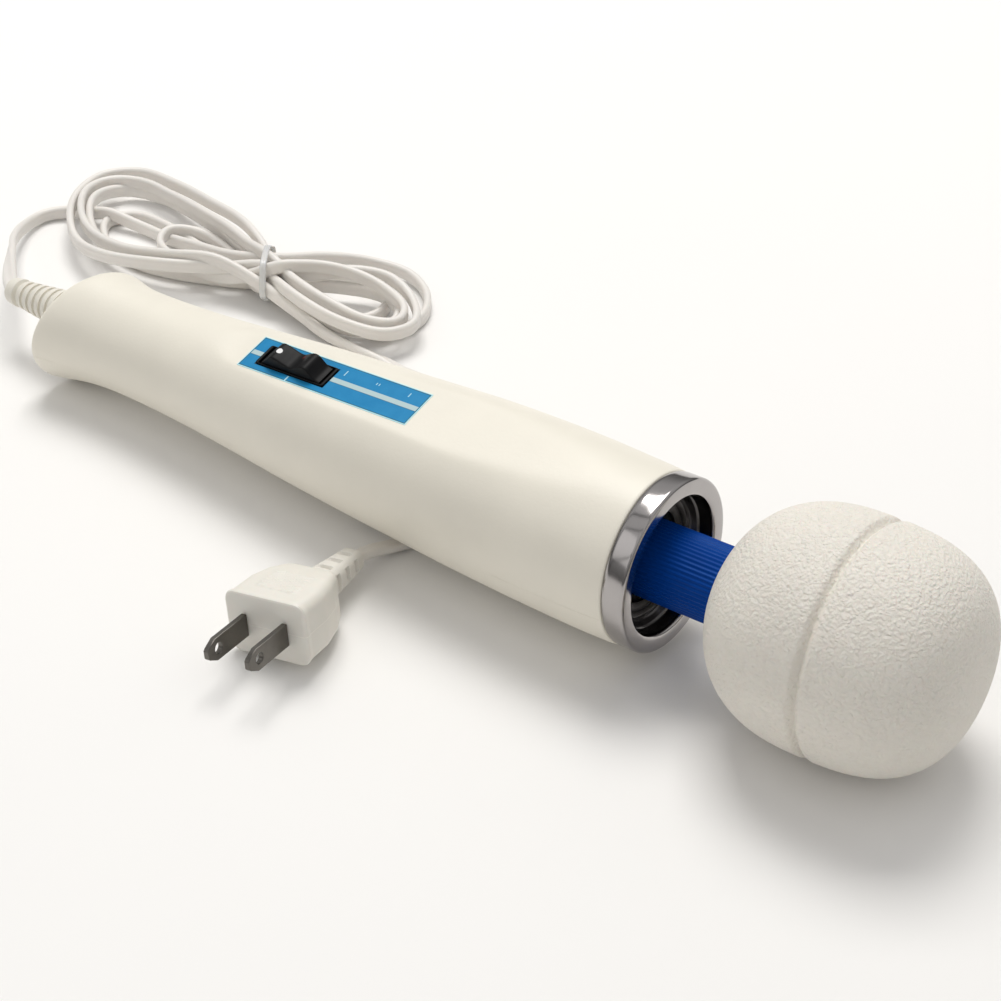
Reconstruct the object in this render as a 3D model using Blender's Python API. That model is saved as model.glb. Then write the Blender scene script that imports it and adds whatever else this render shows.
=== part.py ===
"""Corded wand massager: a tapered handle, a flexing neck and a soft round head.

Lengths below are in millimetres. The wand is drawn in its own frame: +X runs along the
axis to the head, x = 0 is the front face of the chrome collar and +Z is the switch side.
The wand_frame empty lays it on the floor, where +Z is up and the floor is z = 0.
"""
import math

import bmesh
import bpy
from mathutils import Matrix, Vector

MM = 0.001

# How the wand lies: on the bottom of its head and the flare of its tail.
TILT = 3.27           # degrees the tail hangs below the head
ROLL = 12.0           # degrees the switch is turned towards -Y
ORIGIN_X = 80.81
ORIGIN_Z = 28.40

# Handle: outer radius at each station, and how far its centre rises above the axis.
BODY = [(-217, 18.7), (-211, 18.0), (-204, 17.0), (-196, 16.3), (-186, 16.15), (-175, 16.4),
        (-160, 17.1), (-141, 18.5), (-120, 20.2), (-100, 21.5), (-80, 22.6), (-62, 23.6),
        (-45, 24.1), (-30, 24.25), (-18, 24.1), (-10, 23.85), (-6.6, 23.6)]
RISE = [(-217, 2.5), (-211, 2.9), (-204, 3.3), (-196, 3.5), (-175, 3.3), (-150, 3.0),
        (-130, 2.7), (-95, 2.1), (-60, 1.7), (-30, 0.75), (-14, 0.0), (90, 0.0)]
WALL = 2.2
SPLIT_GAP = 0.15      # half the parting gap
PARTING_RISE = 2.6    # at the tail
TAIL_HOLE = 6.4
TAIL_HOLE_Z = 4.7
# The end of the tail is slanted: how far it moves at its centre, left edge and top edge.
SLANT_START = -187.0
SLANT = (5.0, 7.0, 4.0)
# The top is planed flat, this far below the face of the label plate.
FLAT_DEPTH = 0.6
FLAT_END = -142.0

# Chrome collar, neck and head.
COLLAR_R = 23.65
COLLAR_INNER = 18.94
NECK_R = 10.4
NECK_BORE = 8.7
NECK_X = (-9.0, 17.5)
PITCH_X = -3.0        # where the neck bends up and down
YAW_X = 14.0          # where the head bends sideways
HEAD_R = 31.0
HEAD_X = (16.0, 48.0, 83.2)
GROOVE_X = 51.85
HEAD_OPENING = 11.6

# Switch: its centre on the handle, and how the surface slopes there.
SWITCH_X = -120.85
SWITCH_SLOPE = 2.2
SWITCH_Z = 21.05      # the label plate's face
ROCKER_PIVOT = -3.0   # below the label plate's face

# Motor and head bearings.
SHAFT_R = 1.5
CAN_R = 15.5

# Case screws: (name, x, y), and the radius of the posts they pull together.
SCREWS = [("front_left", -97, 10.0), ("front_right", -97, -10.0),
          ("rear_left", -184, 7.0), ("rear_right", -184, -7.0)]
POST_R = 3.6

# Plug: centre of its face, on the floor, and its attitude.
PLUG_AT = (0.5, -65.9, 11.4)
PLUG_YAW, PLUG_PITCH, PLUG_ROLL = 277.0, 7.5, 9.0
PLUG_W, PLUG_H, PLUG_L = 25.2, 18.0, 23.0

# Cord.
CORD_R = 1.1
LEAD_ROUTE = [(-164.4, -1.0, 19.0), (-170, -0.6, 18.4), (-178, 2.5, 17.0), (-188, 10.0, 15.0),
              (-198, 21, 12.4), (-204.5, 33, 10.4), (-206.5, 43.0, 9.6)]
TAIL_ROUTE = [(-62.5, 57.0, 2.2), (-56, 56.6, 1.6), (-47, 56.8, 1.3), (-39.5, 54.5, 1.3),
              (-33, 49, 1.3), (-26.5, 40.5, 1.3), (-18.5, 31, 1.3), (-9.5, 21.5, 1.3),
              (-2.2, 12, 1.3), (1.1, 3, 1.3), (0.3, -5.5, 1.6), (-2.4, -13, 2.7),
              (-4.3, -19.5, 4.4), (-4.6, -24.6, 5.7)]
HANK_ENDS = [(-184, 66, 28), (-89, 80, 23.5)]
HANK_Z = (0.3, 14.5)
TIE_AT, TIE_TURN = (-113.0, 62.0), -53.0


# ---------------------------------------------------------------- helpers

def table(stations, x):
    """Straight-line lookup in a list of (x, value)."""
    if x <= stations[0][0]:
        return stations[0][1]
    for (xa, a), (xb, b) in zip(stations, stations[1:]):
        if x <= xb:
            return a + (b - a) * (x - xa) / (xb - xa)
    return stations[-1][1]


def rise(x):
    return table(RISE, x)


def body_r(x):
    return table(BODY, x)


def label_height(x):
    """Height of the label plate's face, which lies in one plane."""
    return SWITCH_Z + (x - SWITCH_X) * math.tan(math.radians(SWITCH_SLOPE))


def material(name, colour, rough=0.5, metal=0.0):
    mat = bpy.data.materials.new(name)
    mat.use_nodes = True
    bsdf = mat.node_tree.nodes["Principled BSDF"]
    bsdf.inputs["Base Color"].default_value = (*colour, 1.0)
    bsdf.inputs["Roughness"].default_value = rough
    bsdf.inputs["Metallic"].default_value = metal
    mat.diffuse_color = (*colour, 1.0)
    return mat


def make(name, verts, faces, mat, origin=(0, 0, 0), matrix=None, parent="wand_frame", angle=35):
    """A closed mesh object from millimetre points given in the parent's frame."""
    origin = Vector(origin)
    points = [Vector(v) for v in verts]
    if matrix is not None:
        points = [matrix @ v for v in points]
    mesh = bpy.data.meshes.new(name)
    mesh.from_pydata([(v - origin) * MM for v in points], [], faces)
    bm = bmesh.new()
    bm.from_mesh(mesh)
    bmesh.ops.remove_doubles(bm, verts=bm.verts, dist=1e-7)
    bmesh.ops.recalc_face_normals(bm, faces=bm.faces)
    bm.to_mesh(mesh)
    bm.free()
    for poly in mesh.polygons:
        poly.use_smooth = True
    mesh.set_sharp_from_angle(angle=math.radians(angle))
    obj = bpy.data.objects.new(name, mesh)
    bpy.context.collection.objects.link(obj)
    obj.data.materials.append(mat)
    obj.location = origin * MM
    if parent:
        obj.parent = bpy.data.objects[parent]
    return obj


def turned(name, loop, mat, segs=40, origin=(0, 0, 0), half=0, wobble=None, lift=None):
    """Turn a profile of (x, r) about X. A profile from axis to axis closes itself; any other is
    a ring. half is +1 or -1 for the upper or lower half of the case, stopped short of the
    parting. lift raises the whole turning."""
    on_axis = loop[0][1] == 0 and loop[-1][1] == 0
    rows = len(loop)
    count = segs + 1 if half else segs
    span = math.pi if half else 2 * math.pi
    verts, faces = [], []
    for j in range(count):
        a = span * j / segs
        for x, r in loop:
            rr = r if wobble is None else wobble(x, r, a)
            y, z = rr * math.cos(a), rr * math.sin(a)
            if half:
                point = case_surface(x, y, half * (z + SPLIT_GAP) + rise(x))
                if j in (0, segs):
                    point = (point[0], y, parting_height(point[0]) + half * SPLIT_GAP)
                verts.append(point)
            else:
                verts.append((x, y, z + (lift or 0)))
    last = rows - 1 if on_axis else rows
    for j in range(segs):
        k = (j + 1) % count
        for i in range(last):
            n = (i + 1) % rows
            quad = [j * rows + i, j * rows + n, k * rows + n, k * rows + i]
            if on_axis and i == 0:
                quad = [j * rows, j * rows + 1, k * rows + 1]
            elif on_axis and i == rows - 2:
                quad = [j * rows + i, j * rows + n, k * rows + i]
            faces.append(quad)
    if half:
        faces.append(list(range(rows)))
        faces.append([segs * rows + i for i in range(rows)][::-1])
    return make(name, verts, faces, mat, origin)


def extruded(name, outline, low, high, mat, axis="X", origin=(0, 0, 0), matrix=None,
             parent="wand_frame"):
    """Push a closed outline along an axis. The outline is in the other two axes, in order."""
    def point(u, v, w):
        return {"X": (w, u, v), "Y": (u, w, v), "Z": (u, v, w)}[axis]
    n = len(outline)
    verts = [point(u, v, low) for u, v in outline] + [point(u, v, high) for u, v in outline]
    faces = [list(range(n))[::-1], list(range(n, 2 * n))]
    faces += [[i, (i + 1) % n, n + (i + 1) % n, n + i] for i in range(n)]
    return make(name, verts, faces, mat, origin, matrix, parent)


def box(name, centre, size, mat, matrix=None, parent="wand_frame", bevel=0.0, origin=(0, 0, 0)):
    (cx, cy, cz), (sx, sy, sz) = centre, [s / 2 for s in size]
    outline = [(cx - sx, cy - sy), (cx + sx, cy - sy), (cx + sx, cy + sy), (cx - sx, cy + sy)]
    obj = extruded(name, outline, cz - sz, cz + sz, mat, "Z", origin, matrix, parent)
    if bevel:
        mod = obj.modifiers.new("edges", "BEVEL")
        mod.width = bevel * MM
        mod.segments = 2
        mod.limit_method = "ANGLE"
    return obj


def circle(cx, cy, r, n, start=0.0, end=360.0):
    """Points on an arc, end included unless it is a whole circle."""
    whole = end - start == 360.0
    steps = n if whole else n - 1
    return [(cx + r * math.cos(math.radians(start + (end - start) * i / steps)),
             cy + r * math.sin(math.radians(start + (end - start) * i / steps)))
            for i in range(n)]


def cylinder(name, centre, r, low, high, mat, axis="Z", segs=18, **kw):
    return extruded(name, circle(*centre, r, segs), low, high, mat, axis, **kw)


def boolean(target, cutter, operation):
    mod = target.modifiers.new(cutter.name, "BOOLEAN")
    mod.operation = operation
    mod.solver = "EXACT"
    mod.object = cutter
    cutter.hide_render = True
    cutter.display_type = "WIRE"


def smooth_route(points, step):
    """Even points along a smooth curve through the route points, in millimetres."""
    pts = [Vector(p) for p in points]
    pts = [pts[0] * 2 - pts[1]] + pts + [pts[-1] * 2 - pts[-2]]
    dense = []
    for a, b, c, d in zip(pts, pts[1:], pts[2:], pts[3:]):
        for i in range(24):
            t = i / 24
            dense.append(0.5 * ((2 * b) + (c - a) * t + (2 * a - 5 * b + 4 * c - d) * t * t
                                + (3 * b - a - 3 * c + d) * t ** 3))
    dense.append(pts[-2])
    total = sum((b - a).length for a, b in zip(dense, dense[1:]))
    count = max(2, round(total / step))
    out, run, k = [dense[0]], 0.0, 1
    for a, b in zip(dense, dense[1:]):
        run += (b - a).length
        if run >= total * k / count - 1e-9 and k <= count:
            out.append(b.copy())
            k += 1
    return out


def tube(name, points, r, mat, step=None, parent=None, resolution=2):
    """A round cord or wire as a curve object with closed ends."""
    curve = bpy.data.curves.new(name, "CURVE")
    curve.dimensions = "3D"
    curve.bevel_depth = r * MM
    curve.bevel_resolution = resolution
    curve.use_fill_caps = True
    route = smooth_route(points, step or 5 * r)
    spline = curve.splines.new("POLY")
    spline.points.add(len(route) - 1)
    for p, v in zip(spline.points, route):
        p.co = (*(v * MM), 1.0)
    curve.materials.append(mat)
    obj = bpy.data.objects.new(name, curve)
    bpy.context.collection.objects.link(obj)
    if parent:
        obj.parent = bpy.data.objects[parent]
    return obj


# ---------------------------------------------------------------- handle

def case_surface(x, y, z):
    """A point of the case with the top planed flat and the end of the tail slanted."""
    centre = rise(x)
    outside = math.hypot(y, z - centre) > body_r(x) - WALL / 2
    flat = label_height(x) - FLAT_DEPTH - (0 if outside else WALL - 0.4)
    flat += 0.12 * max(0.0, FLAT_END - x)
    z = min(z, flat)
    share = max(0.0, (SLANT_START - x) / (SLANT_START - BODY[0][0]))
    middle, left, top = SLANT
    return x + share * (middle + (left * y + top * (z - centre)) / BODY[0][1]), y, z


def parting_height(x):
    """Height of the face where the two halves of the case meet."""
    return PARTING_RISE * max(0.0, (-14 - x) / 203)


def case_profile():
    outer = [(-217, 1.0), (-217, 17.4), (-216.4, 18.3)] + BODY[1:-1]
    outer += [(-7.4, 23.7), (-6.6, 23.4)]
    inner = [(-6.6, 21.65), (-13.6, 21.65), (-13.6, body_r(-13.6) - WALL)]
    inner += [(x, body_r(x) - WALL) for x in (-30, -62, -100, -141, -175, -196)]
    inner += [(-214.6, 15.4), (-214.6, 1.0)]
    return outer + inner


def case_half(name, side, mat):
    half = turned(name, case_profile(), mat, segs=20, half=side)
    tail_hole = cylinder(f"tail_hole_{name}", (0, TAIL_HOLE_Z), TAIL_HOLE, -225, -198, mat, "X", 22)
    boolean(half, tail_hole, "DIFFERENCE")
    for label, x, y in SCREWS:
        near, far = sorted((side * 0.35, post_end(x, y, side)))
        post = cylinder(f"{name}_post_{label}", (x, y), POST_R, near, far, mat, segs=16)
        boolean(half, post, "UNION")
        if side > 0:
            pilot = cylinder(f"pilot_{label}", (x, y), 1.35, -1, 7.5, mat, segs=12)
            boolean(half, pilot, "DIFFERENCE")
        else:
            recess = cylinder(f"recess_{label}", (x, y), 2.9, -30, screw_seat(x, y), mat, segs=16)
            hole = cylinder(f"hole_{label}", (x, y), 1.7, -31, 1, mat, segs=12)
            boolean(half, recess, "DIFFERENCE")
            boolean(half, hole, "DIFFERENCE")
    return half


def inner_height(x, y, side):
    """Height of the shell's inner face above or below the parting face."""
    r = body_r(x) - WALL
    return rise(x) + side * math.sqrt(r * r - y * y)


def post_end(x, y, side):
    """Where a post stops, inside the thickness of the shell at its outer edge."""
    r = body_r(x) - 0.9
    return rise(x) + side * math.sqrt(r * r - (abs(y) + POST_R) ** 2)


def screw_seat(x, y):
    return inner_height(x, y, -1) + 4.0


def case(cream):
    upper = case_half("upper_case", 1, cream)
    window = box("switch_window", (0, 0, 0), (25.8, 8.6, 14), cream, switch_matrix())
    boolean(upper, window, "DIFFERENCE")
    case_half("lower_case", -1, cream)


def case_screws(steel):
    for label, x, y in SCREWS:
        seat = screw_seat(x, y) - 0.3
        outline = [(0, seat - 2.2), (1.2, seat - 2.2), (2.2, seat - 1.8), (2.5, seat - 1.0),
                   (2.5, seat), (1.1, seat), (1.1, 6.4), (0.5, 7.0), (0, 7.0)]
        turned_z(f"case_screw_{label}", outline, x, y, steel)


def turned_z(name, outline, x, y, mat, segs=10, matrix=None):
    """Turn (r, z) points, axis to axis, about an upright line at (x, y)."""
    verts, faces = [], []
    rows = len(outline)
    for j in range(segs):
        a = 2 * math.pi * j / segs
        verts += [(x + r * math.cos(a), y + r * math.sin(a), z) for r, z in outline]
    for j in range(segs):
        k = (j + 1) % segs
        for i in range(rows - 1):
            quad = [j * rows + i, j * rows + i + 1, k * rows + i + 1, k * rows + i]
            if i == 0:
                quad = [j * rows, j * rows + 1, k * rows + 1]
            elif i == rows - 2:
                quad = [j * rows + i, j * rows + i + 1, k * rows + i]
            faces.append(quad)
    return make(name, verts, faces, mat, matrix=matrix)


def label_plate(blue):
    """The thin printed strip that runs round the switch and on towards the head."""
    xs = [-138.2, -133.8, -127.3, -120.8, -114.3, -107.9, -98, -88, -77.15]
    ys = [-6.37, -4.3, -2.2, 0, 2.2, 4.3, 6.37]
    hole = {(i, j) for i in range(1, 5) for j in range(1, 5)}
    cells = [(i, j) for i in range(8) for j in range(6) if (i, j) not in hole]
    verts, index = [], {}

    def vertex(i, j, top):
        key = (i, j, top)
        if key not in index:
            index[key] = len(verts)
            x, y = xs[i], ys[j]
            verts.append((x, y, label_height(x) - (0 if top else 0.3)))
        return index[key]
    faces, edges = [], {}
    for i, j in cells:
        ring = [(i, j), (i + 1, j), (i + 1, j + 1), (i, j + 1)]
        faces.append([vertex(*p, True) for p in ring])
        faces.append([vertex(*p, False) for p in ring][::-1])
        for a, b in zip(ring, ring[1:] + ring[:1]):
            edges[(a, b)] = True
    for a, b in edges:
        if (b, a) not in edges:
            faces.append([vertex(*a, True), vertex(*a, False), vertex(*b, False), vertex(*b, True)])
    return make("label_plate", verts, faces, blue)


# ---------------------------------------------------------------- switch

def switch_matrix():
    return (Matrix.Translation((SWITCH_X, 0, SWITCH_Z))
            @ Matrix.Rotation(math.radians(-SWITCH_SLOPE), 4, "Y"))


def switch(black, brass):
    place = switch_matrix()
    housing = box("switch_housing", (0, 0, -5.8), (25.0, 7.7, 12.6), black, place)
    pocket = box("switch_pocket", (0, 0, -2.6), (23.2, 6.9, 8.2), black, place)
    boolean(housing, pocket, "DIFFERENCE")
    profile = [(-10.8, -1.6), (-10.8, 0.3), (-8.4, 2.1), (-6.4, 3.75), (-5.4, 4.05), (-4.4, 3.8),
               (-2.2, 3.0), (0.0, 2.25), (1.4, 2.35), (2.9, 3.05), (4.8, 4.0), (6.2, 4.2),
               (7.1, 3.8), (8.3, 2.1), (9.3, 1.0), (10.8, 0.4), (10.8, -1.6), (3.6, -4.6),
               (-3.6, -4.6)]
    pivot = place @ Vector((0, 0, ROCKER_PIVOT))
    extruded("switch_rocker", profile, -3.1, 3.1, black, "Y", pivot, place)
    for k, x in enumerate((-6.5, 0.0, 6.5)):
        box(f"switch_terminal_{k + 1}", (x, 0, -15.6), (0.8, 4.2, 6.4), brass, place)


# ---------------------------------------------------------------- motor

def motor(steel, dark, copper, brass, carbon, rubber, magnet):
    turned("motor_can", [(-84, 15.5), (-26, 15.5), (-26, 4.3), (-27.4, 4.3), (-27.4, 14.3),
                         (-84, 14.3)], steel, 24)
    turned("motor_end_cap", [(-88.2, 15.3), (-84.4, 15.3), (-84.4, 4.3), (-88.2, 4.3)], dark, 24)
    turned("motor_front_bearing", [(-27.3, 4.0), (-25.2, 4.0), (-25.2, 1.58), (-27.3, 1.58)],
           brass, 14)
    turned("motor_rear_bearing", [(-88.0, 4.0), (-84.5, 4.0), (-84.5, 1.58), (-88.0, 1.58)],
           brass, 14)
    for name, start in (("motor_magnet_upper", 25), ("motor_magnet_lower", 205)):
        arc = circle(0, 0, 13.9, 13, start, start + 130)
        arc += circle(0, 0, 12.2, 13, start + 130, start)
        extruded(name, arc, -76, -34, magnet)
    turned("brush_plate", [(-83.9, 14.0), (-82.6, 14.0), (-82.6, 6.0), (-83.9, 6.0)], dark, 24)
    for side, name in ((1, "motor_brush_left"), (-1, "motor_brush_right")):
        box(name, (-79.6, side * 7.6, 0), (4.4, 5.0, 3.4), carbon)
    turned("motor_mount_front", [(-40, 15.8), (-34, 15.8), (-34, 20.4), (-40, 20.4)], rubber, 24)
    turned("motor_mount_rear", [(-82, 15.8), (-76, 15.8), (-76, 17.9), (-82, 17.9)], rubber, 24)


def rotor(steel, iron, copper, brass, rubber):
    turned("motor_shaft", [(-90.5, 0), (-90.5, 1.3), (-90.2, SHAFT_R), (-13.0, SHAFT_R),
                           (-12.7, 1.3), (-12.7, 0)], steel, 16)
    slots = 5
    verts, faces, n = [], [], 60
    for x in (-72, -42):
        for i in range(n):
            a = 2 * math.pi * i / n
            r = 7.2 if (i * slots) % n < slots * 2 else 11.4
            verts.append((x, r * math.cos(a), r * math.sin(a)))
        verts += [(x, 1.8 * math.cos(2 * math.pi * i / n), 1.8 * math.sin(2 * math.pi * i / n))
                  for i in range(n)]
    for i in range(n):
        k = (i + 1) % n
        faces += [[i, k, n + k, n + i], [2 * n + i, 3 * n + i, 3 * n + k, 2 * n + k],
                  [i, 2 * n + i, 2 * n + k, k], [n + i, n + k, 3 * n + k, 3 * n + i]]
    make("armature_core", verts, faces, iron)
    turned("winding_front", [(-41.7, 9.8), (-37.5, 9.8), (-36.2, 8.4), (-36.2, 3.2),
                             (-41.7, 3.2)], copper, 20)
    turned("winding_rear", [(-74.6, 8.4), (-72.3, 9.4), (-72.3, 3.2), (-74.6, 3.2)], copper, 20)
    turned("commutator", [(-82.2, 4.8), (-75.0, 4.8), (-75.0, 1.8), (-82.2, 1.8)], brass, 20)
    turned("shaft_coupling", [(-21.5, 4.2), (-12.6, 4.2), (-12.0, 3.6), (-12.0, 1.8),
                              (-21.5, 1.8)], rubber, 20)


# ---------------------------------------------------------------- tail and mains board

def tail(cream, dark, steel, cord):
    ribs = [(-217.4, 6.6)]
    for k in range(7):
        x = -218.6 - k * 3.1
        r = 6.4 - k * 0.33
        ribs += [(x, r + 0.1), (x - 1.5, r), (x - 1.7, r - 0.95), (x - 2.9, r - 1.0)]
    ribs += [(-240.6, 4.5), (-244.2, 4.1), (-244.8, 3.4), (-244.8, 0)]
    inside = [(-200.4, 0), (-200.4, 4.6), (-200.8, 8.2), (-204.6, 8.2), (-204.6, 6.0)]
    turned("strain_relief_boot", inside + [(-217.4, 6.0)] + ribs, cream, 18, lift=TAIL_HOLE_Z)
    z = TAIL_HOLE_Z
    tube("inner_cord", [(-200.0, 0, z), (-196, 0, z), (-191, 0, z), (-186, 0, z)], 1.9, cord,
         parent="wand_frame")
    box("cord_clamp", (-193, 0, z + 3.4), (5.0, 16.0, 2.2), dark, bevel=0.4)
    for side, name in ((1, "clamp_screw_left"), (-1, "clamp_screw_right")):
        turned_z(name, [(0, z - 3.0), (1.0, z - 3.0), (1.0, z + 1.9), (0.0, z + 1.9)],
                 -193, side * 5.6, steel, 12)


def mains_board(green, dark, ceramic, foil):
    box("rectifier_board", (-160, 0, -4.6), (34, 17, 1.4), green)
    box("bridge_rectifier", (-150, 0, -1.2), (6.5, 9, 4.6), dark, bevel=0.4)
    cylinder("dropper_resistor", (4.2, -0.9), 2.4, -171, -158, ceramic, "X", 16)
    cylinder("smoothing_capacitor", (-3.6, 0.3), 3.4, -171.5, -158, foil, "X", 18)


# ---------------------------------------------------------------- collar and neck

def collar(chrome, dark):
    turned("collar_ring", [(-6.3, 23.2), (-5.9, 23.55), (-5.0, COLLAR_R), (-1.0, COLLAR_R),
                           (-0.3, 23.35), (0, 22.7), (0, 19.9), (-0.25, 19.2),
                           (-0.9, COLLAR_INNER), (-6.3, 19.1), (-13.2, 19.5), (-13.2, 21.3),
                           (-6.3, 21.3)], chrome, 44)
    turned("collar_dish", [(-1.2, 18.6), (-4.2, 18.3), (-6.6, 16.6), (-7.6, 14.0), (-7.8, 12.6),
                           (-8.8, 12.6), (-8.8, 14.2), (-7.6, 17.4), (-5.0, 18.62)], chrome, 32)


def neck(blue, spring, steel):
    def flute(x, r, a):
        return r if r < NECK_R - 0.2 else r - 0.28 * (0.5 - 0.5 * math.cos(16 * a))
    turned("neck_sleeve", [(NECK_X[0], NECK_R), (NECK_X[1], NECK_R), (NECK_X[1], NECK_BORE),
                           (NECK_X[0], NECK_BORE)], blue, 64, (PITCH_X, 0, 0), wobble=flute)
    coil("neck_spring", 7.4, 0.75, -7.6, 15.6, 6, spring, (PITCH_X, 0, 0))
    turned("drive_link", [(-11.4, 0), (-11.4, 2.0), (13.9, 2.0), (13.9, 0)], steel, 14,
           (PITCH_X, 0, 0))


def coil(name, r, wire, x0, x1, turns, mat, origin):
    """A closed wire helix along X."""
    per_turn, sides = 10, 5
    rings = per_turn * turns + 1
    pitch = (x1 - x0 - 2 * wire) / turns
    verts, faces = [], []
    for j in range(rings):
        a = 2 * math.pi * j / per_turn
        x = x0 + wire + pitch * j / per_turn
        for k in range(sides):
            b = 2 * math.pi * k / sides
            q = r + wire * math.cos(b)
            verts.append((x + wire * math.sin(b), q * math.cos(a), q * math.sin(a)))
    for j in range(rings - 1):
        for k in range(sides):
            m = (k + 1) % sides
            faces.append([j * sides + k, j * sides + m, (j + 1) * sides + m, (j + 1) * sides + k])
    faces.append(list(range(sides))[::-1])
    faces.append([(rings - 1) * sides + k for k in range(sides)])
    return make(name, verts, faces, mat, origin)


# ---------------------------------------------------------------- head

def head_point(angle, inset, front):
    """A point on the head's side outline, 0 at its widest, 90 at the tip or the back."""
    back_x, mid_x, tip_x = HEAD_X
    t = math.radians(angle)
    power = 2 / (2.84 if front else 2.6)
    reach = (tip_x - mid_x if front else mid_x - back_x) - inset
    x = mid_x + (1 if front else -1) * reach * math.sin(t) ** power
    return x, (HEAD_R - inset) * max(0.0, math.cos(t)) ** power


def back_angle(radius, inset):
    """Angle at which the back of the outline comes down to a radius."""
    return math.degrees(math.acos((radius / (HEAD_R - inset)) ** (2.6 / 2)))


def outline_back(inset, radius, steps):
    top = back_angle(radius, inset)
    return [head_point(top * (1 - (i / steps)), inset, False) for i in range(steps)]


def outline_front(inset, steps, start=0.0):
    points = [head_point(start + (90 - start) * i / steps, inset, True) for i in range(steps + 1)]
    points[-1] = (points[-1][0], 0.0)
    return points


def head(vinyl, plastic, brass):
    groove = [(50.5, HEAD_R), (51.2, 30.2), (GROOVE_X, 29.55), (52.5, 30.2), (53.2, 30.9)]
    front = [p for p in outline_front(0, 10, 12) if p[0] > 54.5]
    outer = outline_back(0, HEAD_OPENING, 8) + [(48, HEAD_R)] + groove + front
    inner = outline_back(3.5, HEAD_OPENING, 5) + outline_front(3.5, 6)
    turned("head_cover", inner[::-1] + outer, vinyl, 40, (YAW_X, 0, 0))

    back = outline_back(3.9, 12.5, 5)
    x_back = back[0][0]
    inside = outline_back(6.0, 12.5, 4)
    loop = [(x_back, 5.4)] + back + [(47.8, 27.05), (47.8, 24.95)] + inside[::-1]
    loop += [(inside[0][0], 7.4), (31, 7.4), (31, 5.4)]
    turned("head_shell_rear", loop, plastic, 24, (YAW_X, 0, 0))

    skin = [(48.1, 27.05)] + [p for p in outline_front(3.9, 7, 12) if p[0] > 49]
    core = [p for p in outline_front(6.0, 6, 12) if 49 < p[0] < 77.2 and p[1] > 8.5]
    loop = [(73.2, 0), (73.2, 5.4), (65.5, 5.4), (65.5, 7.4), (74.6, 7.4)] + core[::-1]
    turned("head_shell_front", loop + [(48.1, 24.95)] + skin, plastic, 24, (YAW_X, 0, 0))
    turned("head_rear_bearing", [(24.6, 5.1), (30.6, 5.1), (30.6, 1.58), (24.6, 1.58)], brass,
           14, (YAW_X, 0, 0))
    turned("head_front_bearing", [(66.2, 5.1), (72.2, 5.1), (72.2, 1.58), (66.2, 1.58)], brass,
           14, (YAW_X, 0, 0))


def eccentric(steel, lead):
    turned("eccentric_shaft", [(14.4, 0), (14.4, SHAFT_R), (70.6, SHAFT_R), (70.6, 0)], steel,
           16, (YAW_X, 0, 0))
    n = 36
    verts, faces = [], []
    for x in (35, 61):
        for i in range(n):
            a = 2 * math.pi * i / n
            r = 15.5 if math.sin(a) < -0.02 else 4.6
            verts.append((x, r * math.cos(a), r * math.sin(a)))
        verts += [(x, 1.8 * math.cos(2 * math.pi * i / n), 1.8 * math.sin(2 * math.pi * i / n))
                  for i in range(n)]
    for i in range(n):
        k = (i + 1) % n
        faces += [[i, k, n + k, n + i], [2 * n + i, 3 * n + i, 3 * n + k, 2 * n + k],
                  [i, 2 * n + i, 2 * n + k, k], [n + i, n + k, 3 * n + k, 3 * n + i]]
    make("eccentric_weight", verts, faces, lead, (YAW_X, 0, 0))


# ---------------------------------------------------------------- plug and cord

def plug_matrix():
    """The plug's frame: +X out of its face along the blades, +Z up."""
    return (Matrix.Translation(PLUG_AT) @ Matrix.Rotation(math.radians(PLUG_YAW), 4, "Z")
            @ Matrix.Rotation(math.radians(-PLUG_PITCH), 4, "Y")
            @ Matrix.Rotation(math.radians(PLUG_ROLL), 4, "X"))


def rounded(w, h, r, n=4):
    """A rounded rectangle outline centred on the axis."""
    points = []
    for cx, cy, a in ((w / 2 - r, h / 2 - r, 0), (r - w / 2, h / 2 - r, 90),
                      (r - w / 2, r - h / 2, 180), (w / 2 - r, r - h / 2, 270)):
        points += circle(cx, cy, r, n, a, a + 90)
    return points


def lofted(name, sections, mat, matrix, parent=None):
    """A solid through equal-length outlines, each given as (x, outline in y and z)."""
    n = len(sections[0][1])
    verts = [(x, u, v) for x, outline in sections for u, v in outline]
    faces = [list(range(n))[::-1], [(len(sections) - 1) * n + i for i in range(n)]]
    for s in range(len(sections) - 1):
        faces += [[s * n + i, s * n + (i + 1) % n, (s + 1) * n + (i + 1) % n, (s + 1) * n + i]
                  for i in range(n)]
    return make(name, verts, faces, mat, matrix=matrix, parent=parent)


def plug(cream, brass):
    place = plug_matrix()
    sizes = [(0, 1.0, 1.0), (-0.8, 1.04, 1.04), (-10, 1.0, 1.0), (-16, 0.88, 0.94),
             (-21, 0.68, 0.82), (-23, 0.5, 0.68)]
    lofted("plug_body", [(x, rounded(PLUG_W * a * 0.96, PLUG_H * b * 0.96, 3.0 * min(a, b)))
                         for x, a, b in sizes], cream, place)
    for side, name in ((1, "plug_blade_left"), (-1, "plug_blade_right")):
        blade = box(name, (8.65, side * 6.35, 0), (16.7, 1.5, 6.35), brass, place, None)
        hole = cylinder(f"{name}_hole", (12.6, 0), 1.5, side * 6.35 - 2, side * 6.35 + 2, brass,
                        "Y", 14, matrix=place, parent=None)
        boolean(blade, hole, "DIFFERENCE")
    sections = []
    for x, w, h in ((-23.3, 9.6, 9.2), (-28, 9.0, 8.4), (-28.3, 7.4, 6.8), (-29.6, 7.4, 6.8),
                    (-29.9, 8.6, 7.8), (-34, 8.0, 7.2), (-34.3, 6.4, 5.8), (-35.6, 6.4, 5.8),
                    (-35.9, 7.6, 6.8), (-40.5, 6.6, 6.0)):
        sections.append((x, rounded(w, h, 2.4)))
    lofted("plug_boot", sections, cream, place)


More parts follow.
